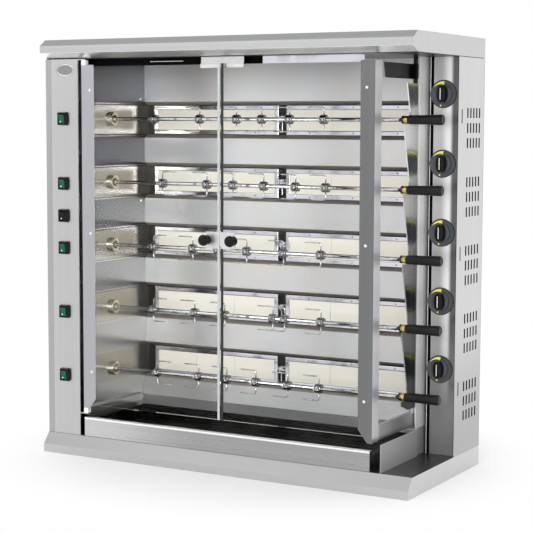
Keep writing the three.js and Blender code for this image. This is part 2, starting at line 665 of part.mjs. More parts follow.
// Upright header behind the gas knobs, a valve for each row, and a pipe down to the middle of its burners.
function gasManifold() {
  const [valveWidth, valveDepth, valveHeight] = VALVE_SIZE;
  const valveFront = KNOB_Y + KNOB_STEM_LENGTH + VALVE_GAP;
  const valveBack = valveFront + valveDepth;
  const headerY = KNOB_PANEL_FACE + HEADER_SETBACK;
  const headerX = KNOB_X + PIPE_OFFSET;
  const outletX = KNOB_X - PIPE_OFFSET;
  const headerSpan = [knobHeight(SPIT_COUNT - 1) - HEADER_OVERRUN, knobHeight(0) + HEADER_OVERRUN];
  const pieces = [turnedAlongZ(HEADER_RADIUS, headerSpan).translate([headerX, headerY, 0])];
  for (let row = 0; row < SPIT_COUNT; row += 1) {
    const z = knobHeight(row);
    const lower = branchHeight(row);
    const jetHeight = burnerHeight(row);
    const valveSides = [KNOB_X - valveWidth / 2, KNOB_X + valveWidth / 2];
    pieces.push(block(valveSides, [valveFront, valveBack], [z - valveHeight / 2, z + valveHeight / 2]));
    const inlet = turnedAlongY(PIPE_RADIUS, [valveBack - SHEET, headerY], 10);
    pieces.push(inlet.translate([headerX, 0, z]));
    const outlet = turnedAlongY(PIPE_RADIUS, [valveBack - SHEET, BRANCH_Y], 10);
    pieces.push(outlet.translate([outletX, 0, lower]));
    const branch = turnedAlongX(PIPE_RADIUS, [CAVITY_MIDDLE - PIPE_RADIUS, outletX + PIPE_RADIUS], 10);
    pieces.push(branch.translate([0, BRANCH_Y, lower]));
    const drop = turnedAlongZ(PIPE_RADIUS, [jetHeight - PIPE_RADIUS, lower], 10);
    pieces.push(drop.translate([CAVITY_MIDDLE, BRANCH_Y, 0]));
    const jet = turnedAlongY(PIPE_RADIUS - SLIP, [CAVITY_BACK + SHEET + TOUCH, BRANCH_Y], 10);
    pieces.push(jet.translate([CAVITY_MIDDLE, 0, jetHeight]));
  }
  return joined(pieces);
}

// ---------------------------------------------------------------- doors
// Each door is drawn for the right-hand side, as distances from its outer edge, and mirrored for the left.
function doorPost(flangeDepth) {
  const postProfile = [
    [0, DOOR_BOTTOM],
    [0, DOOR_TOP],
    [-POST_WIDTH, DOOR_TOP],
    [-POST_WIDTH, DOOR_BOTTOM + POST_CHAMFER_HEIGHT],
    [-POST_WIDTH + POST_CHAMFER_WIDTH, DOOR_BOTTOM],
  ];
  const post = pulledAlongY(postProfile, [FACE, FACE + DOOR_SHEET]);
  return post.add(block([-DOOR_SHEET, 0], [FACE, FACE + flangeDepth], [DOOR_BOTTOM, DOOR_TOP]));
}

// The right door hangs on two long arms, each with an eye and a pin at its back end.
function rightDoorFrame() {
  const armSides = [-ARM_THICKNESS, 0];
  const armLength = [GLASS_BACK + TOUCH, PIVOT_Y];
  const eyeSides = [-ARM_THICKNESS, 2 * PIVOT_RADIUS];
  const eyeLength = [PIVOT_Y - PIVOT_RADIUS, PIVOT_Y + PIVOT_RADIUS];
  const lowSpan = [DOOR_BOTTOM + ARM_LIFT, DOOR_BOTTOM + ARM_LIFT + ARM_HEIGHT];
  const highSpan = [DOOR_TOP - ARM_LIFT - ARM_HEIGHT, DOOR_TOP - ARM_LIFT];
  const lowPin = turnedAlongZ(PIVOT_RADIUS, [DOOR_BOTTOM, lowSpan[1] + PIVOT_TAIL]);
  const highPin = turnedAlongZ(PIVOT_RADIUS, [highSpan[0] - PIVOT_TAIL, WALL_TOP]);
  const arms = [lowSpan, highSpan].map((span) => block(armSides, armLength, span));
  const eyes = [lowSpan, highSpan].map((span) => block(eyeSides, eyeLength, span));
  const pins = [lowPin, highPin].map((pin) => pin.translate([PIVOT_RADIUS, PIVOT_Y, 0]));
  return joined([doorPost(RIGHT_FLANGE), ...arms, ...eyes, ...pins]);
}

// The left door hangs on a block at each end of its post.
function leftDoorFrame() {
  const across = [0, HINGE_BLOCK];
  const along = [FACE, FACE + HINGE_BLOCK];
  const low = block(across, along, [DOOR_BOTTOM - HINGE_BLOCK / 2, DOOR_BOTTOM + HINGE_BLOCK / 2]);
  const high = block(across, along, [DOOR_TOP - DOOR_SHEET + TOUCH, WALL_TOP - HINGE_LUG - TOUCH]);
  return joined([doorPost(LEFT_FLANGE).mirror([1, 0, 0]), low, high]);
}

function doorGlass() {
  const across = [-LEAF_WIDTH, -DOOR_SHEET - TOUCH];
  return block(across, [GLASS_FRONT, GLASS_BACK], [DOOR_BOTTOM + GLASS_BOTTOM_GAP, DOOR_TOP - DOOR_SHEET]);
}

function doorSeal() {
  const across = [-LEAF_WIDTH, -LEAF_WIDTH + SEAL_WIDTH];
  const height = [DOOR_BOTTOM + GLASS_BOTTOM_GAP, DOOR_TOP - DOOR_SHEET];
  const strip = block(across, [FACE, GLASS_FRONT - TOUCH], height);
  const middle = DOOR_KNOB_HEIGHT;
  const room = DOOR_KNOB_PLATE[1] / 2 + TOUCH;
  return strip.subtract(block(across, [FACE - SHEET, FACE + DOOR_SHEET / 2], [middle - room, middle + room]));
}

function doorKnob() {
  const [plateWidth, plateHeight] = DOOR_KNOB_PLATE;
  const base = FACE + DOOR_SHEET / 2 - TOUCH;
  const profile = [
    new THREE.Vector2(0, 0),
    new THREE.Vector2(DOOR_KNOB_NECK, 0),
    new THREE.Vector2(DOOR_KNOB_NECK, DOOR_KNOB_LENGTH / 3),
    new THREE.Vector2(DOOR_KNOB_RADIUS, DOOR_KNOB_LENGTH * 0.6),
    new THREE.Vector2(DOOR_KNOB_RADIUS, DOOR_KNOB_LENGTH - HANDLE_ROUNDING),
    new THREE.Vector2(DOOR_KNOB_RADIUS - HANDLE_ROUNDING, DOOR_KNOB_LENGTH),
    new THREE.Vector2(0, DOOR_KNOB_LENGTH),
  ];
  const turned = new THREE.LatheGeometry(profile, 20);
  turned.rotateX(Math.PI);
  const knob = solidOf(turned).translate([0, base, 0]);
  const innerEdge = -DOOR_KNOB_OFFSET + DOOR_MID_GAP / 2 + TOUCH;
  const across = [innerEdge, innerEdge + plateWidth];
  const plate = block(across, [base - SHEET, base], [-plateHeight / 2, plateHeight / 2]);
  const boss = turnedAlongY(DOOR_KNOB_NECK, [base - SHEET, GLASS_FRONT - TOUCH], 20);
  return joined([knob, plate, boss]);
}

// ---------------------------------------------------------------- drip tray
function dripTray() {
  const left = CAVITY_LEFT + TRAY_LEFT_GAP;
  const right = CAVITY_RIGHT - TRAY_RIGHT_GAP;
  const floor = PLINTH_HEIGHT + 2 * TOUCH;
  const top = floor + TRAY_HEIGHT;
  const rearTop = floor + TRAY_REAR_HEIGHT;
  const back = FACE + TRAY_LENGTH;
  const sideProfile = [
    [FACE, floor],
    [back, floor],
    [back, rearTop],
    [FACE + TRAY_LIP, rearTop],
    [FACE + TRAY_LIP, top],
    [FACE, top],
  ];
  const outer = pulledAlongX(sideProfile, [left, right]);
  const insideLow = block(
    [left + SHEET, right - SHEET],
    [FACE + SHEET, back - SHEET],
    [floor + SHEET, rearTop - SHEET],
  );
  const mouth = block(
    [left + SHEET, right - SHEET],
    [FACE + TRAY_LIP, back - SHEET],
    [floor + SHEET, top + SHEET],
  );
  const underLip = [FACE + SHEET, FACE + TRAY_LIP + SHEET];
  const lipUnderside = block([left + SHEET, right - SHEET], underLip, [rearTop - 2 * SHEET, top - SHEET]);
  return outer.subtract(joined([insideLow, mouth, lipUnderside]));
}

// ---------------------------------------------------------------- spits
function fork(facing) {
  const collar = turnedAlongX(FORK_COLLAR_RADIUS, [-FORK_COLLAR_LENGTH / 2, FORK_COLLAR_LENGTH / 2], 12);
  const half = FORK_PRONG / 2;
  const crossbar = block([-half, half], [-half, half], [-FORK_REACH - half, FORK_REACH + half]);
  const along = facing > 0 ? [-half, FORK_PRONG_LENGTH] : [-FORK_PRONG_LENGTH, half];
  const prongs = [-FORK_REACH, FORK_REACH].map((z) => block(along, [-half, half], [z - half, z + half]));
  const screw = turnedAlongY(THUMB_SCREW_RADIUS, [-THUMB_SCREW_REACH, 0], 8);
  return joined([collar, crossbar, ...prongs, screw]);
}

function spit(row) {
  const start = CAVITY_LEFT + HUB_STICK_OUT - SPIT_ENGAGEMENT;
  const end = HANDLE_START - FERRULE_LENGTH - TOUCH;
  const rod = turnedAlongX(SPIT_RADIUS, [start, end], 12);
  const forks = FORK_STATIONS[row].map((station, index) => {
    const facing = index === 0 ? 1 : -1;
    return fork(facing).translate([CAVITY_LEFT + station, 0, 0]);
  });
  return joined([rod, ...forks]);
}

function spitDriveHub() {
  const body = turnedAlongX(HUB_RADIUS, [CAVITY_LEFT - HUB_STICK_OUT, CAVITY_LEFT + HUB_STICK_OUT], 20);
  const socketStart = CAVITY_LEFT + HUB_STICK_OUT - SPIT_ENGAGEMENT - TOUCH;
  const socket = turnedAlongX(SPIT_RADIUS + TOUCH, [socketStart, CAVITY_LEFT + 2 * HUB_STICK_OUT], 12);
  return body.subtract(socket);
}

function spitHandle() {
  const start = HANDLE_START - FERRULE_LENGTH;
  const end = HANDLE_START + HANDLE_LENGTH;
  const profile = [
    new THREE.Vector2(0, start),
    new THREE.Vector2(FERRULE_RADIUS, start),
    new THREE.Vector2(FERRULE_RADIUS, HANDLE_START),
    new THREE.Vector2(HANDLE_NECK_RADIUS, HANDLE_START),
    new THREE.Vector2(HANDLE_END_RADIUS, end - HANDLE_ROUNDING),
    new THREE.Vector2(HANDLE_END_RADIUS - HANDLE_ROUNDING, end),
    new THREE.Vector2(0, end),
  ];
  const turned = new THREE.LatheGeometry(profile, 20);
  turned.rotateZ(-Math.PI / 2);
  return solidOf(turned);
}

// ---------------------------------------------------------------- gas knobs
function gasKnob() {
  const [gripWidth, gripLength, gripHeight] = KNOB_GRIP;
  const skirtFront = -KNOB_SKIRT_HEIGHT;
  const skirt = turnedAlongY(KNOB_SKIRT_RADIUS, [skirtFront, 0], 28);
  const gripFront = skirtFront - gripHeight;
  const bevel = gripWidth / 4;
  const ends = gripLength / 2;
  const gripProfile = [
    [-gripWidth / 2, -ends + bevel],
    [-gripWidth / 2 + bevel, -ends],
    [gripWidth / 2 - bevel, -ends],
    [gripWidth / 2, -ends + bevel],
    [gripWidth / 2, ends - bevel],
    [gripWidth / 2 - bevel, ends],
    [-gripWidth / 2 + bevel, ends],
    [-gripWidth / 2, ends - bevel],
  ];
  const grip = pulledAlongY(gripProfile, [gripFront, skirtFront + SHEET]);
  const stem = turnedAlongY(KNOB_STEM_RADIUS, [-SHEET, KNOB_STEM_LENGTH], 12);
  return joined([skirt, grip, stem]);
}

// ---------------------------------------------------------------- assembly
addPiece('plinth', plinth(), brushedSteel());
addPiece('hood_canopy', hoodCanopy(), brushedSteel());
addPiece('cavity_ceiling', cavityCeiling(), polishedSteel());
addPiece('left_side_panel', leftSidePanel(), brushedSteel());
addPiece('switch_panel', switchPanel(), brushedSteel());
addPiece('left_inner_wall', leftInnerWall(), polishedSteel());
addPiece('right_partition', rightPartition(), polishedSteel());
addPiece('knob_panel', knobPanel(), darkSteel());
addPiece('right_side_panel', rightSidePanel(), brushedSteel());
addPiece('rear_cover', rearCover(), brushedSteel());
addPiece('back_reflector', backReflector(), polishedSteel());
addPiece('drip_deflector', dripDeflector(), polishedSteel());
addPiece('spit_rack', spitRack(), darkSteel());
addPiece('gear_motors', gearMotors(), darkSteel());
addPiece('gas_manifold', gasManifold(), brass());
addPiece('drip_tray', dripTray(), brushedSteel());

const leftKnobPlace = [DOOR_MIDDLE - DOOR_KNOB_OFFSET, 0, DOOR_KNOB_HEIGHT];
const rightKnobPlace = [DOOR_MIDDLE + DOOR_KNOB_OFFSET, 0, DOOR_KNOB_HEIGHT];
addPiece('left_door_frame', leftDoorFrame(), brushedSteel(), [DOOR_LEFT, 0, 0]);
addPiece('left_door_glass', doorGlass().mirror([1, 0, 0]), clearGlass(), [DOOR_LEFT, 0, 0]);
addPiece('left_door_seal', doorSeal().mirror([1, 0, 0]), blackRubber(), [DOOR_LEFT, 0, 0]);
addPiece('left_door_knob', doorKnob().mirror([1, 0, 0]), blackPlastic(), leftKnobPlace);
addPiece('right_door_frame', rightDoorFrame(), brushedSteel(), [DOOR_RIGHT, 0, 0]);
addPiece('right_door_glass', doorGlass(), clearGlass(), [DOOR_RIGHT, 0, 0]);
addPiece('right_door_seal', doorSeal(), blackRubber(), [DOOR_RIGHT, 0, 0]);
addPiece('right_door_knob', doorKnob(), blackPlastic(), rightKnobPlace);

const burnerOffset = (BURNER_MID_GAP + BURNER_LENGTH) / 2;
for (let row = 0; row < SPIT_COUNT; row += 1) {
  const z = spitHeight(row);
  const label = row + 1;
  const leftBurnerPlace = [CAVITY_MIDDLE - burnerOffset, CAVITY_BACK - TOUCH, burnerHeight(row)];
  const rightBurnerPlace = [CAVITY_MIDDLE + burnerOffset, CAVITY_BACK - TOUCH, burnerHeight(row)];
  addPiece(`left_burner_${label}`, burner(), ceramic(), leftBurnerPlace);
  addPiece(`right_burner_${label}`, burner(), ceramic(), rightBurnerPlace);
  addPiece(`spit_drive_hub_${label}`, spitDriveHub(), chrome(), [0, SPIT_Y, z]);
  addPiece(`spit_${label}`, spit(row), chrome(), [0, SPIT_Y, z]);
  addPiece(`spit_handle_${label}`, spitHandle(), blackPlastic(), [0, SPIT_Y, z]);
  addPiece(`gas_knob_${label}`, gasKnob(), blackPlastic(), [KNOB_X, KNOB_Y, knobHeight(row)]);
  addPiece(`rocker_switch_${label}`, rockerSwitch(), greenPlastic(), [SWITCH_X, SWITCH_PIVOT_Y, z]);
}
const lightSwitchPlace = [SWITCH_X, SWITCH_PIVOT_Y, spitHeight(LIGHT_SWITCH_ROW)];
addPiece('light_switch', rockerSwitch(), blackPlastic(), lightSwitchPlace);

export default oven;
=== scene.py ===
# Gas rotisserie oven, dressed for a studio render. Metres. +X is the cook's right, +Y the back, +Z up.
import math

import bmesh
import bpy
from mathutils import Matrix, Vector


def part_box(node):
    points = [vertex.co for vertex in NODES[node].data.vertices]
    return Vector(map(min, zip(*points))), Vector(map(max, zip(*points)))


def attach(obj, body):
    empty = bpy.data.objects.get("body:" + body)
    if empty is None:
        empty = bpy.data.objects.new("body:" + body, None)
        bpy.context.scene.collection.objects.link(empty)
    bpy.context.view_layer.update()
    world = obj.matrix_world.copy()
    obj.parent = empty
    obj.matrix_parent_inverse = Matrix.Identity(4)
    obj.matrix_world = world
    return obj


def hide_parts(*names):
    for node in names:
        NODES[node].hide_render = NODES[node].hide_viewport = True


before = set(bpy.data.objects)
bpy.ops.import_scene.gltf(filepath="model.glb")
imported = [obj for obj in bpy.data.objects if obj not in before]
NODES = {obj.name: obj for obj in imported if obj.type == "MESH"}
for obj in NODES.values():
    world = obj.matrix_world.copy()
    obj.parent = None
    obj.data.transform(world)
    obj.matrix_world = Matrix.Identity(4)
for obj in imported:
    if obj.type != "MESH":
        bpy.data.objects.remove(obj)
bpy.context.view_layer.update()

ROWS = range(1, 6)
MM = 0.001

CABINET_LOW, CABINET_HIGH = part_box("plinth")
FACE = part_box("left_side_panel")[0][1]
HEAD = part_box("hood_canopy")[0][2]
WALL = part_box("left_inner_wall")[0][0] + 1.5 * MM
DOOR_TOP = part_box("left_door_seal")[1][2] + 2 * MM
DOOR_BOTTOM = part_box("right_door_frame")[0][2]
GAP_MIDDLE = (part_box("left_door_seal")[1][0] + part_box("right_door_seal")[0][0]) / 2
RIGHT_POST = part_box("right_door_glass")[1][0] + 2.3 * MM
TRAY_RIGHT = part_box("drip_tray")[1][0]
PANEL_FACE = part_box("knob_panel")[0][1] + 2.5 * MM
REAR = CABINET_HIGH[1]
SIDE = CABINET_HIGH[0]
FRONT = CABINET_LOW[1]


def middle(node):
    low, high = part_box(node)
    return (Vector(low) + Vector(high)) / 2


def mm(points, start=0.0):
    """Pairs in millimetres as metres, with the first of each pair counted from start."""
    return [(start + along * MM, across * MM) for along, across in points]


def beside(place, *steps):
    """The point that lies some millimetres from a place, along X, Y and Z."""
    return tuple(value + step * MM for value, step in zip(place, steps))


BURNER_ROW = middle("left_burner_1").z
BURNER_PITCH = BURNER_ROW - middle("left_burner_2").z
CHIN = HEAD + 15 * MM + 0.5 * FRONT


# --- shader node groups
FLOAT, COLOUR = "NodeSocketFloat", "NodeSocketColor"


def shader_group(name, inputs, outputs):
    tree = bpy.data.node_groups.new(name, "ShaderNodeTree")
    for label, kind, value in inputs:
        socket = tree.interface.new_socket(label, in_out="INPUT", socket_type=kind)
        socket.default_value = value
    for label, kind in outputs:
        tree.interface.new_socket(label, in_out="OUTPUT", socket_type=kind)
    return tree, tree.nodes.new("NodeGroupInput"), tree.nodes.new("NodeGroupOutput")


def add_node(tree, kind, **settings):
    node = tree.nodes.new(kind)
    for label, value in settings.items():
        setattr(node, label, value)
    return node


def maths(tree, operation, first, second=None, clamp=False):
    node = add_node(tree, "ShaderNodeMath", operation=operation, use_clamp=clamp)
    for socket, value in zip(node.inputs, (first, second)):
        if value is None:
            continue
        if isinstance(value, (int, float)):
            socket.default_value = value
        else:
            tree.links.new(value, socket)
    return node.outputs[0]


def colour_mix(tree, amount, first, second, blend="MIX"):
    node = add_node(tree, "ShaderNodeMix", data_type="RGBA", blend_type=blend)
    for socket, value in ((node.inputs[0], amount), (node.inputs[6], first), (node.inputs[7], second)):
        if isinstance(value, (int, float, tuple)):
            socket.default_value = value
        else:
            tree.links.new(value, socket)
    return node.outputs[2]


def object_place(tree):
    return add_node(tree, "ShaderNodeTexCoord").outputs["Object"]


def noise(tree, detail, place, scale=None):
    node = add_node(tree, "ShaderNodeTexNoise")
    node.inputs["Detail"].default_value = detail
    tree.links.new(place, node.inputs["Vector"])
    if scale is None:
        node.inputs["Scale"].default_value = 1.0
    else:
        tree.links.new(scale, node.inputs["Scale"])
    return node


def between(tree, value, low, high, curve="LINEAR"):
    """0 at low and 1 at high."""
    node = add_node(tree, "ShaderNodeMapRange", interpolation_type=curve)
    node.inputs["From Min"].default_value = low
    node.inputs["From Max"].default_value = high
    tree.links.new(value, node.inputs["Value"])
    return node.outputs["Result"]


def brushed_grain_group():
    """Fine parallel lines left by the brushing belt, in two thicknesses."""
    tree, start, end = shader_group(
        "Brushed grain",
        [("Lines", "NodeSocketVector", (3.0, 3.0, 900.0)), ("Unevenness", FLOAT, 0.5)],
        [("Height", FLOAT), ("Streaks", FLOAT)],
    )
    stretch = add_node(tree, "ShaderNodeVectorMath", operation="MULTIPLY")
    tree.links.new(object_place(tree), stretch.inputs[0])
    tree.links.new(start.outputs["Lines"], stretch.inputs[1])
    fine = noise(tree, 3.0, stretch.outputs[0])
    wide = add_node(tree, "ShaderNodeVectorMath", operation="SCALE")
    wide.inputs["Scale"].default_value = 0.06
    tree.links.new(stretch.outputs[0], wide.inputs[0])
    broad = noise(tree, 2.0, wide.outputs[0])
    swing = maths(tree, "SUBTRACT", broad.outputs["Fac"], 0.5)
    swing = maths(tree, "MULTIPLY", swing, start.outputs["Unevenness"])
    streaks = maths(tree, "ADD", swing, fine.outputs["Fac"], clamp=True)
    tree.links.new(fine.outputs["Fac"], end.inputs["Height"])
    tree.links.new(streaks, end.inputs["Streaks"])
    return tree


def smudges_group():
    """Soft hand and cloth marks that change how a surface shines."""
    inputs = [("Size", FLOAT, 9.0), ("Cover", FLOAT, 0.5)]
    tree, start, end = shader_group("Smudges", inputs, [("Mask", FLOAT)])
    cloud = noise(tree, 4.0, object_place(tree), start.outputs["Size"])
    cloud.inputs["Distortion"].default_value = 0.4
    lowest = maths(tree, "SUBTRACT", 1.0, start.outputs["Cover"])
    above = maths(tree, "SUBTRACT", cloud.outputs["Fac"], lowest)
    mask = maths(tree, "MULTIPLY", above, 3.0, clamp=True)
    tree.links.new(mask, end.inputs["Mask"])
    return tree


def painted_facing_light_group():
    """Painted light and shade by facing, over the surface's own colour: one colour for faces that look along
    Y, another along X and another along Z.
    """
    tree, start, end = shader_group(
        "Facing tone",
        [(label, COLOUR, (0.6, 0.6, 0.6, 1)) for label in ("Front", "Side", "Level")],
        [("Color", COLOUR)],
    )
    place = add_node(tree, "ShaderNodeTexCoord")
    parts = add_node(tree, "ShaderNodeSeparateXYZ")
    tree.links.new(place.outputs["Normal"], parts.inputs[0])
    side = maths(tree, "MULTIPLY", parts.outputs["X"], parts.outputs["X"])
    level = maths(tree, "MULTIPLY", parts.outputs["Z"], parts.outputs["Z"])
    upright = colour_mix(tree, side, start.outputs["Front"], start.outputs["Side"])
    tree.links.new(colour_mix(tree, level, upright, start.outputs["Level"]), end.inputs["Color"])
    return tree


def soft_step_group():
    """A soft step from 0 to 1 along one axis, between two distances."""
    tree, start, end = shader_group(
        "Soft step",
        [("Axis", "NodeSocketVector", (0.0, 1.0, 0.0)), ("From", FLOAT, 0.0),
         ("To", FLOAT, 1.0)],
        [("Mask", FLOAT)],
    )
    along = add_node(tree, "ShaderNodeVectorMath", operation="DOT_PRODUCT")
    tree.links.new(object_place(tree), along.inputs[0])
    tree.links.new(start.outputs["Axis"], along.inputs[1])
    step = add_node(tree, "ShaderNodeMapRange", interpolation_type="SMOOTHSTEP")
    tree.links.new(along.outputs["Value"], step.inputs["Value"])
    tree.links.new(start.outputs["From"], step.inputs["From Min"])
    tree.links.new(start.outputs["To"], step.inputs["From Max"])
    tree.links.new(step.outputs["Result"], end.inputs["Mask"])
    return tree


def speckle_group():
    """Small grains in a moulded or fired surface."""
    tree, start, end = shader_group(
        "Speckle",
        [("Size", FLOAT, 600.0), ("Sharpness", FLOAT, 2.0)],
        [("Mask", FLOAT)],
    )
    grain = noise(tree, 2.0, object_place(tree), start.outputs["Size"])
    centred = maths(tree, "SUBTRACT", grain.outputs["Fac"], 0.45)
    mask = maths(tree, "MULTIPLY", centred, start.outputs["Sharpness"], clamp=True)
    tree.links.new(mask, end.inputs["Mask"])
    return tree


BRUSHED_GRAIN = brushed_grain_group()
SMUDGES = smudges_group()
PAINTED_FACING_LIGHT = painted_facing_light_group()
SOFT_STEP = soft_step_group()
SPECKLE = speckle_group()


def placed(tree, group, **values):
    node = add_node(tree, "ShaderNodeGroup", node_tree=group)
    for label, value in values.items():
        node.inputs[label].default_value = value
    return node


def past(tree, axis, start, end):
    """0 before a place along an axis and 1 past it, with a soft step between."""
    return placed(tree, SOFT_STEP, Axis=axis, From=start, To=end).outputs["Mask"]


def smudges(tree, size, cover):
    return placed(tree, SMUDGES, Size=size, Cover=cover).outputs["Mask"]


def multiplied(tree, first, second):
    return colour_mix(tree, 1.0, first, second, blend="MULTIPLY")


def spread(tree, value, low, high):
    node = add_node(tree, "ShaderNodeMapRange")
    tree.links.new(value, node.inputs["Value"])
    node.inputs["To Min"].default_value = low
    node.inputs["To Max"].default_value = high
    return node.outputs["Result"]


def coloured(tree, shader, colour):
    tree.links.new(colour, shader.inputs["Base Color"])


def roughened(tree, shader, mask, low, high):
    tree.links.new(spread(tree, mask, low, high), shader.inputs["Roughness"])


def bumped(tree, shader, height, strength, distance):
    bump = add_node(tree, "ShaderNodeBump")
    bump.inputs["Strength"].default_value = strength
    bump.inputs["Distance"].default_value = distance
    tree.links.new(height, bump.inputs["Height"])
    tree.links.new(bump.outputs["Normal"], shader.inputs["Normal"])


def either_shader(tree, amount, first, second, output="Material Output"):
    """Shows the first shader where amount is 0 and the second where it is 1."""
    either = add_node(tree, "ShaderNodeMixShader")
    tree.links.new(amount, either.inputs[0])
    tree.links.new(first.outputs[0], either.inputs[1])
    tree.links.new(second.outputs[0], either.inputs[2])
    tree.links.new(either.outputs[0], tree.nodes[output].inputs["Surface"])


def new_material(name, metallic=0.0):
    material = bpy.data.materials.new(name)
    material.use_nodes = True
    tree = material.node_tree
    shader = tree.nodes["Principled BSDF"]
    shader.inputs["Metallic"].default_value = metallic
    return material, tree, shader


def grey(value, warmth=0.0):
    return (value * (1 + warmth), value, value * (1 - warmth), 1)


# --- materials
LINES_ALONG_X = (2.5, 700.0, 700.0)
LINES_ALONG_Z = (700.0, 700.0, 2.5)
RECESS_FACE = 0.1395
WALL_SHADE = 0.184


def sheet_steel(name, front, side, level, lines=LINES_ALONG_X, roughness=(0.24, 0.4), contrast=0.08, steps=(),
                metallic=1.0):
    """Stainless sheet, with painted light and shade by facing. Each step is (axis, start, end, colour): the
    sheet turns that colour past a place; most steps paint light or shade.
    """
    material, tree, shader = new_material(name, metallic=metallic)
    tone = placed(tree, PAINTED_FACING_LIGHT, Front=front, Side=side, Level=level)
    grain = placed(tree, BRUSHED_GRAIN, Lines=lines, Unevenness=0.8)
    marks = smudges(tree, 5.0, 0.52)
    lighter = spread(tree, grain.outputs["Streaks"], 1 - contrast, 1 + contrast)
    base = multiplied(tree, tone.outputs["Color"], lighter)
    for axis, start, end, colour in steps:
        base = colour_mix(tree, past(tree, axis, start, end), base, colour)
    coloured(tree, shader, base)
    shine = spread(tree, grain.outputs["Streaks"], *roughness)
    dulled = maths(tree, "MULTIPLY_ADD", marks, 0.06)
    tree.links.new(shine, dulled.node.inputs[2])
    tree.links.new(dulled, shader.inputs["Roughness"])
    bumped(tree, shader, grain.outputs["Height"], 0.12, 0.0002)
    return material


def moulded(name, colour, roughness=(0.3, 0.5), grain_size=500.0, bump=0.15, gloss=0.5):
    """Moulded plastic, phenolic or rubber: slightly grained, with smudged shine."""
    material, tree, shader = new_material(name)
    grain = placed(tree, SPECKLE, Size=grain_size, Sharpness=2.0)
    marks = smudges(tree, 40.0, 0.5)
    lighter = tuple(min(1.0, part * 1.6 + 0.01) for part in colour[:3]) + (1,)
    base = colour_mix(tree, spread(tree, grain.outputs["Mask"], 0.0, 0.35), colour, lighter)
    coloured(tree, shader, base)
    roughened(tree, shader, marks, *roughness)
    shader.inputs["Specular IOR Level"].default_value = gloss
    bumped(tree, shader, grain.outputs["Mask"], bump, 0.0002)
    return material


def turned_metal(name, colour, stain_and_reflection, roughness=(0.14, 0.34), size=60.0):
    """Bright turned or cast metal with patches of heat or tarnish, which on the fork collars are painted dark
    reflections.
    """
    material, tree, shader = new_material(name, metallic=1.0)
    patches = smudges(tree, size, 0.5)
    grain = placed(tree, SPECKLE, Size=900.0, Sharpness=2.0)
    coloured(tree, shader, colour_mix(tree, patches, colour, stain_and_reflection))
    roughened(tree, shader, patches, *roughness)
    bumped(tree, shader, grain.outputs["Mask"], 0.08, 0.0001)
    return material


def burner_tile():
    """Cream ceramic with rows of fine flame holes, toasted in places, and painted shade that darkens it
    towards the right.
    """
    material, tree, shader = new_material("burner tile")
    holes = add_node(tree, "ShaderNodeTexVoronoi")
    holes.inputs["Scale"].default_value = 420.0
    holes.inputs["Randomness"].default_value = 0.15
    tree.links.new(object_place(tree), holes.inputs["Vector"])
    pit = between(tree, holes.outputs["Distance"], 0.12, 0.42)
    toast = smudges(tree, 11.0, 0.56)
    cream, toasted, hole = (1.0, 0.965, 0.87, 1), (0.98, 0.90, 0.78, 1), (0.45, 0.36, 0.25, 1)
    base = colour_mix(tree, spread(tree, toast, 0.0, 0.5), cream, toasted)
    base = colour_mix(tree, spread(tree, pit, 0.14, 0.0), base, hole)
    # painted shade: darker towards the right
    leftwards = past(tree, (-1, 0, 0), -0.3, 0.35)
    shade = spread(tree, leftwards, 0.8, 1.0)
    base = multiplied(tree, base, shade)
    coloured(tree, shader, base)
    roughened(tree, shader, toast, 0.7, 0.9)
    bumped(tree, shader, pit, 0.25, 0.0004)
    return material


def reflector_steel():
    """Bright liner: plain ridges, slants coloured warmer and darker by their facing, patches of heat tint,
    recesses for the burners painted near black as shade, and painted reflection that brightens it towards the
    left.
    """
    material, tree, shader = new_material("reflector steel", metallic=0.8)
    tone = placed(tree, PAINTED_FACING_LIGHT, Front=(0.61, 0.61, 0.625, 1), Side=grey(0.3),
                  Level=(0.50, 0.46, 0.40, 1))
    grain = placed(tree, BRUSHED_GRAIN, Lines=(2.5, 400.0, 400.0), Unevenness=0.3)
    cloud = smudges(tree, 2.6, 0.55)
    heat = smudges(tree, 6.0, 0.6)
    warm = colour_mix(tree, heat, (1.0, 1.0, 1.0, 1), (1.03, 0.97, 0.92, 1))
    base = multiplied(tree, tone.outputs["Color"], warm)
    soft = spread(tree, cloud, 1.0, 0.88)
    base = multiplied(tree, base, soft)
    # painted shade: behind the recess face the liner is near black
    recess = past(tree, (0, 1, 0), RECESS_FACE, RECESS_FACE + 1.7 * MM)
    base = colour_mix(tree, recess, base, (0.02, 0.018, 0.016, 1))
    # painted reflection: the liner brightens towards the left and darkens towards the right
    leftwards = past(tree, (-1, 0, 0), -0.3, 0.42)
    shade = spread(tree, leftwards, 0.9, 1.38)
    base = multiplied(tree, base, shade)
    coloured(tree, shader, base)
    roughened(tree, shader, grain.outputs["Streaks"], 0.28, 0.4)
    bumped(tree, shader, grain.outputs["Height"], 0.02, 0.0001)
    return material


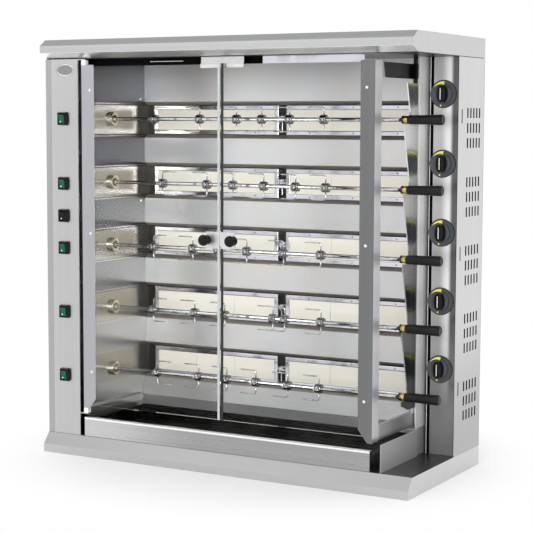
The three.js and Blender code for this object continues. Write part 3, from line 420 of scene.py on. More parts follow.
def mirror_wall():
    """Bright annealed wall that mirrors the burners, with rolling marks. Painted shade darkens it upwards and
    along its front, painted reflections of the burners lie in bands at their heights with a thin painted
    highlight beside each, and painted light makes the proud ledge paler.
    """
    material, tree, shader = new_material("mirror wall", metallic=0.9)
    grain = placed(tree, BRUSHED_GRAIN, Lines=(500.0, 2.5, 300.0), Unevenness=0.6)
    cloud = smudges(tree, 2.4, 0.6)
    # painted shade: the wall darkens upwards
    upwards = past(tree, (0, 0, 1), 0.15, 0.95)
    plain = colour_mix(tree, upwards, (0.46, 0.455, 0.44, 1), (0.046, 0.048, 0.053, 1))
    cloudy = spread(tree, cloud, 1.0, 0.85)
    plain = multiplied(tree, plain, cloudy)
    parts = add_node(tree, "ShaderNodeSeparateXYZ")
    tree.links.new(object_place(tree), parts.inputs[0])
    # painted reflections of the burners: a paler band at each burner's height
    from_row = maths(tree, "SUBTRACT", parts.outputs["Z"], BURNER_ROW)
    from_row = maths(tree, "MINIMUM", from_row, BURNER_PITCH / 2)
    from_row = maths(tree, "PINGPONG", from_row, BURNER_PITCH / 2)
    burner_reflection = between(tree, from_row, 45 * MM, 41 * MM, "SMOOTHSTEP")
    base = colour_mix(tree, burner_reflection, plain, (0.42, 0.40, 0.35, 1))
    # painted highlight: a thin pale line just outside each band
    rim = maths(tree, "COMPARE", from_row, 48 * MM)
    rim.node.inputs[2].default_value = 1.2 * MM
    base = colour_mix(tree, rim, base, (0.5, 0.49, 0.47, 1))
    streak = spread(tree, grain.outputs["Streaks"], 0.9, 1.1)
    base = multiplied(tree, base, streak)
    # painted light: the parts that stand proud of the wall, such as the ledge, are paler
    proud = past(tree, (1, 0, 0), WALL + 0.6 * MM, WALL + 1.4 * MM)
    base = colour_mix(tree, proud, base, (0.6, 0.59, 0.55, 1))
    # painted shade: the wall's front strip is near black
    front = past(tree, (0, -1, 0), WALL_SHADE, WALL_SHADE + 5 * MM)
    base = colour_mix(tree, front, base, grey(0.02))
    coloured(tree, shader, base)
    roughened(tree, shader, grain.outputs["Streaks"], 0.16, 0.26)
    bumped(tree, shader, grain.outputs["Height"], 0.02, 0.0001)
    return material


def tray_steel():
    """Bright outside, with painted shade darkening it towards the right; dark inside, with darker patches."""
    material, tree, shader = new_material("tray steel", metallic=1.0)
    tone = placed(tree, PAINTED_FACING_LIGHT, Front=grey(0.60), Side=grey(0.5), Level=grey(0.3))
    grain = placed(tree, BRUSHED_GRAIN, Lines=LINES_ALONG_X, Unevenness=0.6)
    dark_patches = smudges(tree, 12.0, 0.6)
    behind = past(tree, (0, 1, 0), FACE + 0.002, FACE + 0.004)
    end = past(tree, (1, 0, 0), TRAY_RIGHT - 1.2 * MM, TRAY_RIGHT - 0.6 * MM)
    inside = maths(tree, "SUBTRACT", behind, end, clamp=True)
    dark = colour_mix(tree, dark_patches, grey(0.09), (0.03, 0.027, 0.022, 1))
    # painted shade: the outside darkens towards the right
    rightwards = past(tree, (1, 0, 0), -0.42, -0.05)
    shade = spread(tree, rightwards, 1.0, 0.64)
    outside = multiplied(tree, tone.outputs["Color"], shade)
    base = colour_mix(tree, inside, outside, dark)
    streak = spread(tree, grain.outputs["Streaks"], 0.9, 1.1)
    coloured(tree, shader, multiplied(tree, base, streak))
    roughened(tree, shader, grain.outputs["Streaks"], 0.2, 0.34)
    bumped(tree, shader, grain.outputs["Height"], 0.1, 0.0002)
    return material


def door_glass():
    """Clear toughened glass. The light that it lets through to the inside isn't bent."""
    material, tree, shader = new_material("door glass")
    dust = smudges(tree, 7.0, 0.5)
    clean, dusty = (0.985, 0.995, 0.99, 1), (0.97, 0.985, 0.98, 1)
    coloured(tree, shader, colour_mix(tree, dust, clean, dusty))
    roughened(tree, shader, dust, 0.0, 0.012)
    shader.inputs["Transmission Weight"].default_value = 1.0
    shader.inputs["IOR"].default_value = 1.12
    clear = add_node(tree, "ShaderNodeBsdfTransparent")
    path = add_node(tree, "ShaderNodeLightPath")
    passing = maths(tree, "MAXIMUM", path.outputs["Is Shadow Ray"], path.outputs["Is Diffuse Ray"])
    either_shader(tree, passing, shader, clear)
    return material


NEAR_BLACK = grey(0.012)
CABINET_STEEL = sheet_steel("cabinet steel", grey(0.44), grey(0.60), grey(0.42), lines=LINES_ALONG_Z)
# painted shade: the side sheet darkens towards its foot, and behind its outer face, in the slots, it is
# painted near black
VENTED_STEEL = sheet_steel("vented side steel", grey(0.2), grey(0.67), grey(0.2), lines=LINES_ALONG_Z,
                           steps=[((0, 0, -1), -0.48, -0.1, grey(0.46)),
                                  ((-1, 0, 0), -SIDE + 0.3 * MM, -SIDE + 0.6 * MM, NEAR_BLACK)])
# painted shade: deeper than 4 mm behind the cabinet's face the panel is painted near black
SWITCH_PANEL_STEEL = sheet_steel("switch panel steel", grey(0.55), grey(0.6), grey(0.4), lines=LINES_ALONG_Z,
                                 steps=[((0, 1, 0), FACE + 3 * MM, FACE + 4 * MM, NEAR_BLACK),
                                        ((0, -1, 0), -FACE + 0.4 * MM, -FACE + 0.6 * MM, NEAR_BLACK)])
# painted shade: everything in front of its outer rear face, inside the cabinet, is painted near black
REAR_STEEL = sheet_steel("rear cover steel", grey(0.55), grey(0.6), grey(0.42), lines=LINES_ALONG_Z,
                         steps=[((0, -1, 0), -REAR + 0.6 * MM, -REAR + 0.9 * MM, NEAR_BLACK)])
# painted reflection: below the line of the hood's chin the sheet turns the brightest grey
HOOD_STEEL = sheet_steel("hood steel", grey(0.52, -0.01), grey(0.62), grey(0.25),
                         steps=[((0, -0.5, -1), -CHIN - 0.7 * MM, -CHIN - 0.3 * MM, grey(1.0))])
PLINTH_STEEL = sheet_steel("plinth steel", grey(0.57), grey(0.64), grey(0.18))
# painted shade: deeper than 4 mm behind the cabinet's face the post is painted near black
LEFT_POST_STEEL = sheet_steel("left post steel", (0.46, 0.455, 0.485, 1), grey(0.5), grey(0.5),
                              lines=LINES_ALONG_Z,
                              steps=[((0, 1, 0), FACE + 3 * MM, FACE + 4 * MM, NEAR_BLACK)])
# painted light and shade: deeper than 43 mm behind the face the post turns a middle grey, and its upper parts
# further back are painted near black
RIGHT_POST_STEEL = sheet_steel("right post steel", grey(0.195, -0.01), (0.68, 0.68, 0.70, 1), grey(0.8),
                               lines=LINES_ALONG_Z,
                               steps=[((0, 1, 0), FACE + 41 * MM, FACE + 43 * MM, grey(0.46)),
                                      ((0, 4, 1), 0.44, 0.47, grey(0.025))])
# painted shade: darker towards its foot, darker still below about 0.13 m, and near black deeper than 18 mm
# behind the knob panel's face
PARTITION_STEEL = sheet_steel("partition steel", grey(0.75), grey(0.98), grey(0.5), lines=LINES_ALONG_Z,
                              contrast=0.2, roughness=(0.3, 0.5), metallic=0.3,
                              steps=[((0, 0, -1), -0.75, -0.2, grey(0.78)),
                                     ((0, 0, -1), -0.134, -0.128, grey(0.33)),
                                     ((0, 1, 0), PANEL_FACE + 17 * MM, PANEL_FACE + 18 * MM, NEAR_BLACK)])
# painted shade: the ceiling is painted near black
CEILING_STEEL = sheet_steel("ceiling steel", grey(0.03), grey(0.03), grey(0.02))
# painted light: the deflector turns lighter towards the left
DEFLECTOR_STEEL = sheet_steel("deflector steel", grey(0.38), grey(0.38), grey(0.34), contrast=0.12,
                              roughness=(0.3, 0.5), steps=[((-1, 0, 0), -0.1, 0.4, grey(0.62))])
# painted light: the rack turns lighter upwards
RACK_STEEL = sheet_steel("rack steel", grey(0.4), grey(0.17), grey(0.4), lines=LINES_ALONG_Z, contrast=0.3,
                         roughness=(0.16, 0.3), steps=[((0, 0, 1), 0.45, 1.05, grey(0.9))])
KNOB_PANEL_STEEL = sheet_steel(
    "knob panel steel", grey(0.48), grey(0.3), grey(0.3), lines=LINES_ALONG_Z, roughness=(0.14, 0.26),
    metallic=0.35,
    steps=[
        # a painted reflection as a bright stripe down the middle, painted shade to its right and towards the
        # foot, a painted highlight on one edge, and painted shade, near black, behind its face
        ((1, 0, 0), 0.530, 0.556, grey(0.92)),
        ((1, 0, 0), 0.557, 0.569, grey(0.13)),
        ((0, 0, -1), -0.46, -0.16, grey(0.22)),
        ((-1, 0, 0), -0.5098, -0.5090, grey(0.9)),
        ((0, 1, 0), PANEL_FACE + 1.2 * MM, PANEL_FACE + 2.2 * MM, grey(0.006)),
    ],
)
PLAIN_STEEL = turned_metal("plain steel", grey(0.62), grey(0.42))
CATCH_STEEL = turned_metal("catch steel", grey(0.60), grey(0.52), roughness=(0.4, 0.55))
PLATE_STEEL = turned_metal("knob plate steel", grey(0.74), grey(0.6), roughness=(0.4, 0.55))
LIP_STEEL = turned_metal("burner lip steel", (0.68, 0.67, 0.73, 1), (0.46, 0.44, 0.49, 1), size=14.0)
# painted reflection: the collars' near-black patches stand for dark reflections
FORK_STEEL = turned_metal("fork collar steel", grey(0.34), grey(0.015), roughness=(0.08, 0.2), size=170.0)
CHROME = turned_metal("spit chrome", grey(0.60), (0.07, 0.065, 0.06, 1), roughness=(0.08, 0.26), size=80.0)
SCREW_BRIGHT = turned_metal("bright screw", grey(0.95), grey(0.8))
DARK_METAL = turned_metal("dark metal", grey(0.06), grey(0.02), roughness=(0.2, 0.4))
SHADE_METAL = turned_metal("shaded lip", grey(0.004), grey(0.002), roughness=(0.4, 0.5))
BRASS = turned_metal("brass", (0.78, 0.56, 0.22, 1), (0.5, 0.36, 0.16, 1))
PALE_BRASS = turned_metal("pale plated flange", (0.62, 0.58, 0.45, 1), (0.4, 0.36, 0.27, 1), size=25.0)
TILE = burner_tile()
REFLECTOR = reflector_steel()
MIRROR_WALL = mirror_wall()
TRAY_STEEL = tray_steel()
GLASS = door_glass()
BLACK_GRIP = moulded("black grip", (0.008, 0.008, 0.009, 1), roughness=(0.3, 0.45), gloss=0.22)
BLACK_GLOSS = moulded("black gloss", (0.004, 0.004, 0.005, 1), roughness=(0.12, 0.22), bump=0.03, gloss=0.2)
BLACK_RUBBER = moulded("black rubber", (0.010, 0.010, 0.011, 1), roughness=(0.5, 0.7))
DIAL_GREY = moulded("dial grey", (0.065, 0.07, 0.078, 1), roughness=(0.3, 0.45), bump=0.06, gloss=0.3)
DIAL_YELLOW = moulded("dial yellow", (0.78, 0.76, 0.12, 1), roughness=(0.35, 0.5), bump=0.05)
# white print and insulators, and on the gas knobs a painted highlight line
WHITE_MARK_AND_HIGHLIGHT = moulded("white mark and highlight", (0.8, 0.8, 0.8, 1), roughness=(0.3, 0.5), bump=0.05)
ROCKER_GREEN = moulded("rocker green", (0.003, 0.085, 0.04, 1), roughness=(0.12, 0.22), bump=0.03, gloss=0.3)
MOTOR_PAINT = moulded("motor paint", (0.16, 0.17, 0.19, 1), roughness=(0.35, 0.55), grain_size=250.0)
CLEAR_SEAL = moulded("clear seal", (0.42, 0.43, 0.43, 1), roughness=(0.3, 0.5), bump=0.05)
BADGE_ENAMEL = moulded("badge enamel", (0.19, 0.2, 0.2, 1), roughness=(0.25, 0.4), bump=0.06)
HINGE_WHITE = moulded("hinge block white", (0.78, 0.78, 0.8, 1), roughness=(0.3, 0.5))


def round_edges(piece, width):
    """The small rounding of folded, cut and moulded edges."""
    rounding = piece.modifiers.new("edge rounding", "BEVEL")
    rounding.width = width
    rounding.segments = 2
    rounding.limit_method = "ANGLE"
    rounding.angle_limit = math.radians(40)


def dress(node, material, bevel):
    """Gives a CAD node its finish and its edges."""
    piece = NODES[node]
    piece.data.materials.clear()
    piece.data.materials.append(material)
    if bevel:
        round_edges(piece, bevel)


# --- mesh helpers
def paint(faces, slot):
    for face in faces:
        face.material_index = slot


def add_block(shape, low, high, slot=0, rounding=0.0):
    made = bmesh.ops.create_cube(shape, size=1.0)
    corners = made["verts"]
    low, high = Vector(low), Vector(high)
    for corner in corners:
        for axis in range(3):
            corner.co[axis] = low[axis] if corner.co[axis] < 0 else high[axis]
    faces = list({face for corner in corners for face in corner.link_faces})
    paint(faces, slot)
    if rounding:
        edges = list({edge for corner in corners for edge in corner.link_edges})
        result = bmesh.ops.bevel(shape, geom=edges, offset=rounding, segments=2, affect="EDGES", profile=0.5)
        paint(result["faces"], slot)


AXIS_TURN = {
    "X": Matrix(((0, 0, 1), (0, 1, 0), (-1, 0, 0))),
    "-X": Matrix(((0, 0, -1), (0, 1, 0), (1, 0, 0))),
    "Y": Matrix(((1, 0, 0), (0, 0, 1), (0, -1, 0))),
    "-Y": Matrix(((1, 0, 0), (0, 0, -1), (0, 1, 0))),
    "Z": Matrix.Identity(3),
}


def skin(shape, near, far, slot=0, smooth=True):
    """Joins two rings of points with faces."""
    for step in range(len(near)):
        after = (step + 1) % len(near)
        face = shape.faces.new((near[step], near[after], far[after], far[step]))
        face.material_index = slot
        face.smooth = smooth


def turned_rings(shape, profile, axis, place, sides):
    """A ring of points for each (distance, radius), about an axis through place."""
    rings = []
    for distance, radius in profile:
        ring = []
        for step in range(sides):
            angle = 2 * math.pi * step / sides
            point = Vector((radius * math.cos(angle), radius * math.sin(angle), distance))
            ring.append(shape.verts.new(AXIS_TURN[axis] @ point + Vector(place)))
        rings.append(ring)
    return rings


def add_turned(shape, profile, axis, place, slot=0, sides=32, slots=None):
    """Spins (distance, radius) points about an axis through place."""
    rings = turned_rings(shape, profile, axis, place, sides)
    for index, (near, far) in enumerate(zip(rings, rings[1:])):
        skin(shape, near, far, slots[index] if slots else slot)
    for ring, order in ((rings[0], -1), (rings[-1], 1)):
        cap = shape.faces.new(ring[::order])
        cap.material_index = slots[0 if order < 0 else -1] if slots else slot


def add_prism(shape, outline, axis, place, depth, slot=0):
    """Pulls a flat outline (u, v) along an axis from place."""
    turn = AXIS_TURN[axis]
    low = [shape.verts.new(turn @ Vector((u, v, 0)) + Vector(place)) for u, v in outline]
    high = [shape.verts.new(turn @ Vector((u, v, depth)) + Vector(place)) for u, v in outline]
    paint([shape.faces.new(low[::-1]), shape.faces.new(high)], slot)
    skin(shape, low, high, slot, smooth=False)


def add_drawn(shape, near, far):
    """Closes a bar between its two end outlines."""
    shape.faces.new(near)
    shape.faces.new(far[::-1])
    for index in range(len(near)):
        after = (index + 1) % len(near)
        shape.faces.new((near[after], near[index], far[index], far[after]))


def add_rod(shape, points, radii, slot=0, sides=10):
    """A round bar along a path, with its own radius at each point."""
    points = [Vector(point) for point in points]
    rings = []
    side = None
    for index, point in enumerate(points):
        along = (points[min(index + 1, len(points) - 1)] - points[max(index - 1, 0)]).normalized()
        if side is None:
            side = along.orthogonal().normalized()
        side = (side - along * side.dot(along)).normalized()
        other = along.cross(side)
        ring = []
        for step in range(sides):
            angle = 2 * math.pi * step / sides
            outwards = math.cos(angle) * side + math.sin(angle) * other
            ring.append(shape.verts.new(point + radii[index] * outwards))
        rings.append(ring)
    for near, far in zip(rings, rings[1:]):
        skin(shape, near, far, slot)
    paint([shape.faces.new(rings[0][::-1]), shape.faces.new(rings[-1])], slot)


def face_rings(shape, stages, x, z):
    """A ring of points for each (outline, distance), out from the cabinet's face."""
    return [[shape.verts.new((x + u, FACE - distance, z + v)) for u, v in outline]
            for outline, distance in stages]


def oval(width, height, sides=48):
    return [
        (width / 2 * math.cos(2 * math.pi * step / sides), height / 2 * math.sin(2 * math.pi * step / sides))
        for step in range(sides)
    ]


def rounded_outline(width, height, corner, steps=6):
    points = []
    for quarter in range(4):
        across = (1, -1, -1, 1)[quarter] * (width / 2 - corner)
        along = (1, 1, -1, -1)[quarter] * (height / 2 - corner)
        for step in range(steps + 1):
            angle = math.pi / 2 * (quarter + step / steps)
            points.append((across + corner * math.cos(angle), along + corner * math.sin(angle)))
    return points


def new_object(name, data):
    made = bpy.data.objects.new(name, data)
    bpy.context.scene.collection.objects.link(made)
    return made


def make_piece(name, shape, materials, body, replaces=(), bevel=0.0):
    bmesh.ops.recalc_face_normals(shape, faces=shape.faces)
    mesh = bpy.data.meshes.new(name)
    shape.to_mesh(mesh)
    shape.free()
    for material in materials:
        mesh.materials.append(material)
    piece = new_object(name, mesh)
    if bevel:
        round_edges(piece, bevel)
    if replaces:
        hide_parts(*replaces)
    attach(piece, body)


def dome(radius, height):
    """Profile of a domed screw head, from its seat outwards."""
    points = [(0, radius)]
    for step in range(1, 6):
        angle = math.pi / 2 * step / 6
        points.append((height * math.sin(angle), radius * math.cos(angle)))
    return points


def add_screw(shape, place, radius, height, axis="-Y", slot=0, sides=20):
    add_turned(shape, dome(radius * MM, height * MM), axis, place, slot=slot, sides=sides)


# --- burners
LIP = 12 * MM
TILE_COUNT = 3
TILE_GAP = 0.8 * MM


def burner(node):
    low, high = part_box(node)
    x0, y0, z0 = low
    x1, y1, z1 = high
    shape = bmesh.new()
    tile_face = y0 + 1.0 * MM
    for near, far in (
        ((x0, y0, z1 - LIP), (x1, y1, z1)),
        ((x0, y0, z0), (x1, y1, z0 + LIP)),
        ((x0, y0 + 0.1 * MM, z0 + LIP), (x0 + LIP, y1, z1 - LIP)),
        ((x1 - LIP, y0 + 0.1 * MM, z0 + LIP), (x1, y1, z1 - LIP)),
    ):
        add_block(shape, near, far, rounding=1.2 * MM)
    inner_left = x0 + LIP
    width = (x1 - x0 - 2 * LIP - TILE_GAP * (TILE_COUNT + 1)) / TILE_COUNT
    for index in range(TILE_COUNT):
        start = inner_left + TILE_GAP + index * (width + TILE_GAP)
        add_block(shape, (start, tile_face, z0 + LIP + TILE_GAP), (start + width, y1, z1 - LIP - TILE_GAP),
                  slot=1, rounding=0.8 * MM)
    add_block(shape, (inner_left, y0 + 4 * MM, z0 + LIP), (x1 - LIP, y1, z1 - LIP), slot=2)
    for share in (0.18, 0.5, 0.82):
        x = x0 + share * (x1 - x0)
        for z in (z0 + LIP / 2, z1 - LIP / 2):
            add_screw(shape, (x, y0 + 0.4 * MM, z), 2.2, 1.2, slot=2, sides=12)
    make_piece("pressed_" + node, shape, [LIP_STEEL, TILE, DARK_METAL], "cabinet", replaces=[node])


def igniter(row):
    """Spark electrode in the gap between the two burners: a bracket, a white insulator and a bent wire."""
    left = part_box(f"left_burner_{row}")[1]
    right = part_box(f"right_burner_{row}")[0]
    seat = ((left[0] + right[0]) / 2, left[1] - 1 * MM, middle(f"left_burner_{row}").z)
    shape = bmesh.new()
    add_block(shape, beside(seat, -11, -2, -2), beside(seat, 11, -0.6, 12))
    insulator = mm([(0, 3.2), (10, 3.2), (11, 4.4), (16, 4.4), (18, 2)])
    add_turned(shape, insulator, "-Y", beside(seat, -4, 0, 6), slot=1, sides=14)
    wire = [beside(seat, *steps) for steps in ((-4, -17, 6), (-4, -21, 6), (-2, -22, 2), (3, -20, -6))]
    add_rod(shape, wire, [1.1 * MM] * 4)
    add_turned(shape, mm([(0, 2.6), (8, 2.6)]), "-Y", beside(seat, 6, 0, 6), slot=2, sides=12)
    add_block(shape, beside(seat, -8, -1, -34), beside(seat, -5, 0, -6))
    make_piece(f"igniter_{row}", shape, [PLAIN_STEEL, WHITE_MARK_AND_HIGHLIGHT, DARK_METAL], "cabinet", bevel=0.3 * MM)


# --- spits
PRONG = 1.9 * MM
PRONG_BEND = 7 * MM
FORK_REACH = 34 * MM
COLLAR_RADIUS = 13 * MM
COLLAR_LENGTH = 20 * MM
SAME_PLACE = 0.35 * MM


def spit_line(node):
    """Where a spit's own line passes through the middle of the oven, read from a piece on it."""
    return (0, middle(node).y, middle(node).z)


def fork_stations(row):
    """Reads the collars' places from the spit's CAD mesh."""
    edges = set()
    _, y, z = spit_line(f"spit_handle_{row}")
    for vertex in NODES[f"spit_{row}"].data.vertices:
        radius = math.hypot(vertex.co.y - y, vertex.co.z - z)
        if abs(radius - COLLAR_RADIUS) < SAME_PLACE:
            edges.add(round(vertex.co.x, 4))
    starts = [edge for edge in sorted(edges)
              if any(abs(edge + COLLAR_LENGTH - other) < SAME_PLACE for other in edges)]
    return [start + COLLAR_LENGTH / 2 for start in starts]


def add_fork(shape, x, y, z, facing):
    right_half = mm([(10, 9), (10, 12), (8.5, 13), (3, 13), (2, 11.6)])
    collar = [(-along, radius) for along, radius in right_half] + right_half[::-1]
    add_turned(shape, collar, "X", (x, y, z), slot=2, sides=24)
    for side in (-1, 1):
        path = [(x, y, z + side * 6 * MM), (x, y, z + side * (FORK_REACH - PRONG_BEND))]
        for step in range(1, 5):
            angle = math.pi / 2 * step / 4
            path.append((x + facing * PRONG_BEND * (1 - math.cos(angle)), y,
                         z + side * (FORK_REACH - PRONG_BEND + PRONG_BEND * math.sin(angle))))
        path.append((x + facing * 44 * MM, y, z + side * FORK_REACH))
        path.append((x + facing * 52 * MM, y, z + side * FORK_REACH))
        add_rod(shape, path, [PRONG] * 7 + [0.4 * MM])
    thumb_screw = mm([(8, 3), (17, 3), (17.5, 4), (23, 4), (24, 3)])
    add_turned(shape, thumb_screw, "-Y", (x, y, z), slot=2, sides=14)
    wing = rounded_outline(17 * MM, 6 * MM, 2.9 * MM)
    add_prism(shape, wing, "-Y", (x, y - 18.5 * MM, z), 3 * MM, slot=1)


def spit(row):
    low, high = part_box(f"spit_{row}")
    place = Vector(spit_line(f"spit_handle_{row}"))
    shape = bmesh.new()
    rod = mm([(0, 4.2), (4, 5.5)], low[0]) + mm([(0, 5.5)], high[0])
    add_turned(shape, rod, "X", place, sides=24)
    for index, x in enumerate(fork_stations(row)):
        add_fork(shape, x, place.y, place.z, 1 if index == 0 else -1)
    make_piece(f"spit_and_forks_{row}", shape, [CHROME, PLAIN_STEEL, FORK_STEEL], f"spit_assembly_{row}",
               replaces=[f"spit_{row}"])


def drive_hub(row):
    low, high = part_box(f"spit_drive_hub_{row}")
    place = spit_line(f"spit_drive_hub_{row}")
    shape = bmesh.new()
    socket = mm([(0, 9), (1, 10)], low[0])
    socket += mm([(-5, 10), (-4, 9), (-1, 9), (0, 8), (0, 5.8), (-9.5, 5.8)], high[0])
    add_turned(shape, socket, "X", place)
    make_piece(f"drive_socket_{row}", shape, [PALE_BRASS], f"spit_assembly_{row}",
               replaces=[f"spit_drive_hub_{row}"])
    ring = bmesh.new()
    face = WALL + 10 * MM
    outer = mm([(0, 21), (1.2, 20.4), (1.6, 18), (1.0, 14), (1.0, 11.4)])
    add_turned_ring(ring, outer, 11.4 * MM, "X", (face, place[1], place[2]))
    for turn in range(3):
        angle = math.radians(30 + 120 * turn)
        seat = beside((face, place[1], place[2]), 1, 16.5 * math.cos(angle), 16.5 * math.sin(angle))
        add_screw(ring, seat, 2.2, 1, "X", slot=1, sides=12)
    make_piece(f"bearing_flange_{row}", ring, [PALE_BRASS, PLAIN_STEEL], "cabinet")


def add_turned_ring(shape, profile, bore, axis, place, sides=40):
    """A spun ring with an open bore, closed back to its seat."""
    rings = turned_rings(shape, profile + [(0, bore)], axis, place, sides)
    for near, far in zip(rings, rings[1:] + rings[:1]):
        skin(shape, near, far)


def spit_handle(row):
    low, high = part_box(f"spit_handle_{row}")
    place = spit_line(f"spit_handle_{row}")
    grip = low[0] + 19 * MM
    shape = bmesh.new()
    ferrule = mm([(0, 8), (0, 10), (1, 11), (5, 11), (6, 9.4), (8, 9.4), (9, 11)], low[0])
    ferrule += mm([(-3, 11), (-2, 10), (1, 10)], grip)
    add_turned(shape, ferrule, "X", place, slots=[2, 2, 2, 2, 0, 0, 0, 0, 2])
    handle = mm([(0, 9), (0, 11), (1.5, 12.2), (8, 12.4), (40, 12.8), (75, 13.6)], grip)
    handle += mm([(-5, 14), (-2, 13.3), (-0.5, 11.5), (0, 9.5), (-0.8, 6)], high[0])
    add_turned(shape, handle, "X", place, slot=1, sides=40)
    make_piece(f"handle_grip_{row}", shape, [BRASS, BLACK_GRIP, DARK_METAL], f"spit_assembly_{row}",
               replaces=[f"spit_handle_{row}"])


# --- gas knobs
def sector(radius, start, end, thickness, steps=20):
    """A curved wedge, pointed at its start and full at its end, as (u, v) points."""
    outer, inner = [], []
    for step in range(steps + 1):
        share = step / steps
        angle = math.radians(start + (end - start) * share)
        outer.append((radius * math.cos(angle), radius * math.sin(angle)))
        depth = radius - thickness * (0.08 + 0.92 * share)
        inner.append((depth * math.cos(angle), depth * math.sin(angle)))
    return outer + inner[::-1]


def gas_knob(row):
    low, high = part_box(f"gas_knob_{row}")
    centre = (Vector(low) + Vector(high)) / 2
    seat = high[1] - 14 * MM
    shape = bmesh.new()
    skirt = mm([(-14, 4), (-0.2, 4), (0, 24), (1, 25), (3, 24.6), (4.6, 23), (5, 20)])
    add_turned(shape, skirt, "-Y", (centre.x, seat, centre.z), slot=2, sides=48)
    base = oval_with_flats(30 * MM, 48 * MM)
    rings = []
    for distance, shrink in ((4.6, 1.0), (14, 0.95), (19, 0.86), (21.6, 0.72), (22.6, 0.5), (22.9, 0.2)):
        y, rise = seat - distance * MM, 0.5 + 0.5 * shrink
        rings.append([shape.verts.new((centre.x + u * shrink, y, centre.z + v * rise)) for u, v in base])
    for near, far in zip(rings, rings[1:]):
        skin(shape, near, far)
    shape.faces.new(rings[0][::-1])
    shape.faces.new(rings[-1])
    # painted highlight: a white line down the grip stands for the edge highlight
    line = rounded_outline(2.2 * MM, 32 * MM, 1.1 * MM)
    add_prism(shape, line, "-Y", (centre.x, seat - 22.6 * MM, centre.z), 0.4 * MM, slot=1)
    make_piece(f"control_knob_{row}", shape, [BLACK_GLOSS, WHITE_MARK_AND_HIGHLIGHT, DIAL_GREY], f"gas_knob_{row}",
               replaces=[f"gas_knob_{row}"])

    dial = bmesh.new()
    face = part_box("knob_panel")[0][1]
    plate = mm([(-2, 38.2), (0.1, 38.2), (0.2, 37.6), (0.2, 36.8), (0.1, 36.6), (0.1, 5)])
    add_turned(dial, plate, "-Y", (centre.x, face, centre.z), sides=64, slots=[1, 1, 1, 1, 0])
    add_prism(dial, sector(34 * MM, 145, 86, 9 * MM), "-Y", (centre.x, face, centre.z), 0.26 * MM, slot=2)
    dot = oval(4.6 * MM, 4.6 * MM, 20)
    add_prism(dial, dot, "-Y", (centre.x - 8 * MM, face, centre.z - 31 * MM), 0.26 * MM, slot=2)
    make_piece(f"knob_dial_{row}", dial, [DIAL_GREY, DARK_METAL, DIAL_YELLOW], "cabinet")


def oval_with_flats(width, height, sides=40):
    """An outline with full flanks and rounded ends."""
    points = []
    for step in range(sides):
        angle = 2 * math.pi * step / sides
        across = math.copysign(abs(math.cos(angle)) ** 0.7, math.cos(angle))
        along = math.copysign(abs(math.sin(angle)) ** 0.9, math.sin(angle))
        points.append((width / 2 * across, height / 2 * along))
    return points


# --- switches
BEZEL = (38.4 * MM, 38.4 * MM)
BEZEL_BASE = 3.1 * MM
BEZEL_PROUD = 11.2 * MM
BEZEL_CORNER = 8 * MM
COLLAR = 7 * MM
SWITCH_PIVOT = FACE - 5 * MM
OPENING = (19.6 * MM, 27.6 * MM)
ROCKER = (18.4 * MM, 26 * MM)
ROCKER_TILT = math.radians(7)


def clipped_outline(width, height, corner):
    """A rectangle with cut corners."""
    across, up = width / 2, height / 2
    cut = corner * 0.6
    return [(across, -up + corner), (across, up - corner), (across - cut, up), (-across + cut, up),
            (-across, up - corner), (-across, -up + corner), (-across + cut, -up), (across - cut, -up)]


def switch(node, lens):
    low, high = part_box(node)
    x = (low[0] + high[0]) / 2
    z = (low[2] + high[2]) / 2
    shape = bmesh.new()
    stages = [
        (clipped_outline(*BEZEL, BEZEL_CORNER), -0.2 * MM),
        (clipped_outline(*BEZEL, BEZEL_CORNER), BEZEL_BASE),
        (clipped_outline(OPENING[0] + COLLAR, OPENING[1] + COLLAR, 0.8 * MM), BEZEL_PROUD),
        (clipped_outline(*OPENING, 1.5 * MM), BEZEL_PROUD),
        (clipped_outline(*OPENING, 1.5 * MM), -0.2 * MM),
    ]
    rings = face_rings(shape, stages, x, z)
    for near, far in zip(rings, rings[1:] + rings[:1]):
        skin(shape, near, far, smooth=False)
    make_piece(f"{node}_bezel", shape, [BLACK_GLOSS], "cabinet", bevel=0.5 * MM)

    body = bmesh.new()
    width, half = ROCKER[0] / 2, ROCKER[1] / 2
    tilt = Matrix.Rotation(ROCKER_TILT, 3, "X")
    upper = [(8 * MM, half - 1 * MM), (-6.4 * MM, half - 0.4 * MM), (-7.4 * MM, half - 1.6 * MM),
             (-6.2 * MM, 5 * MM)]
    lower = [(y, -v) for y, v in upper]
    profile = lower[:1] + upper + [(-5.8 * MM, 0)] + lower[:0:-1]
    near, far = (
        [body.verts.new(Vector((end, SWITCH_PIVOT, z)) + tilt @ Vector((0, y, v))) for y, v in profile]
        for end in (x - width, x + width))
    add_drawn(body, near, far)
    pip = Vector((x - 2.6 * MM, SWITCH_PIVOT, z)) + tilt @ Vector((0, -6.7 * MM, -7.4 * MM))
    add_screw(body, pip, 2.1, 0.7, slot=1, sides=16)
    make_piece(f"{node}_cap", body, [lens, WHITE_MARK_AND_HIGHLIGHT], node, replaces=[node], bevel=0.5 * MM)


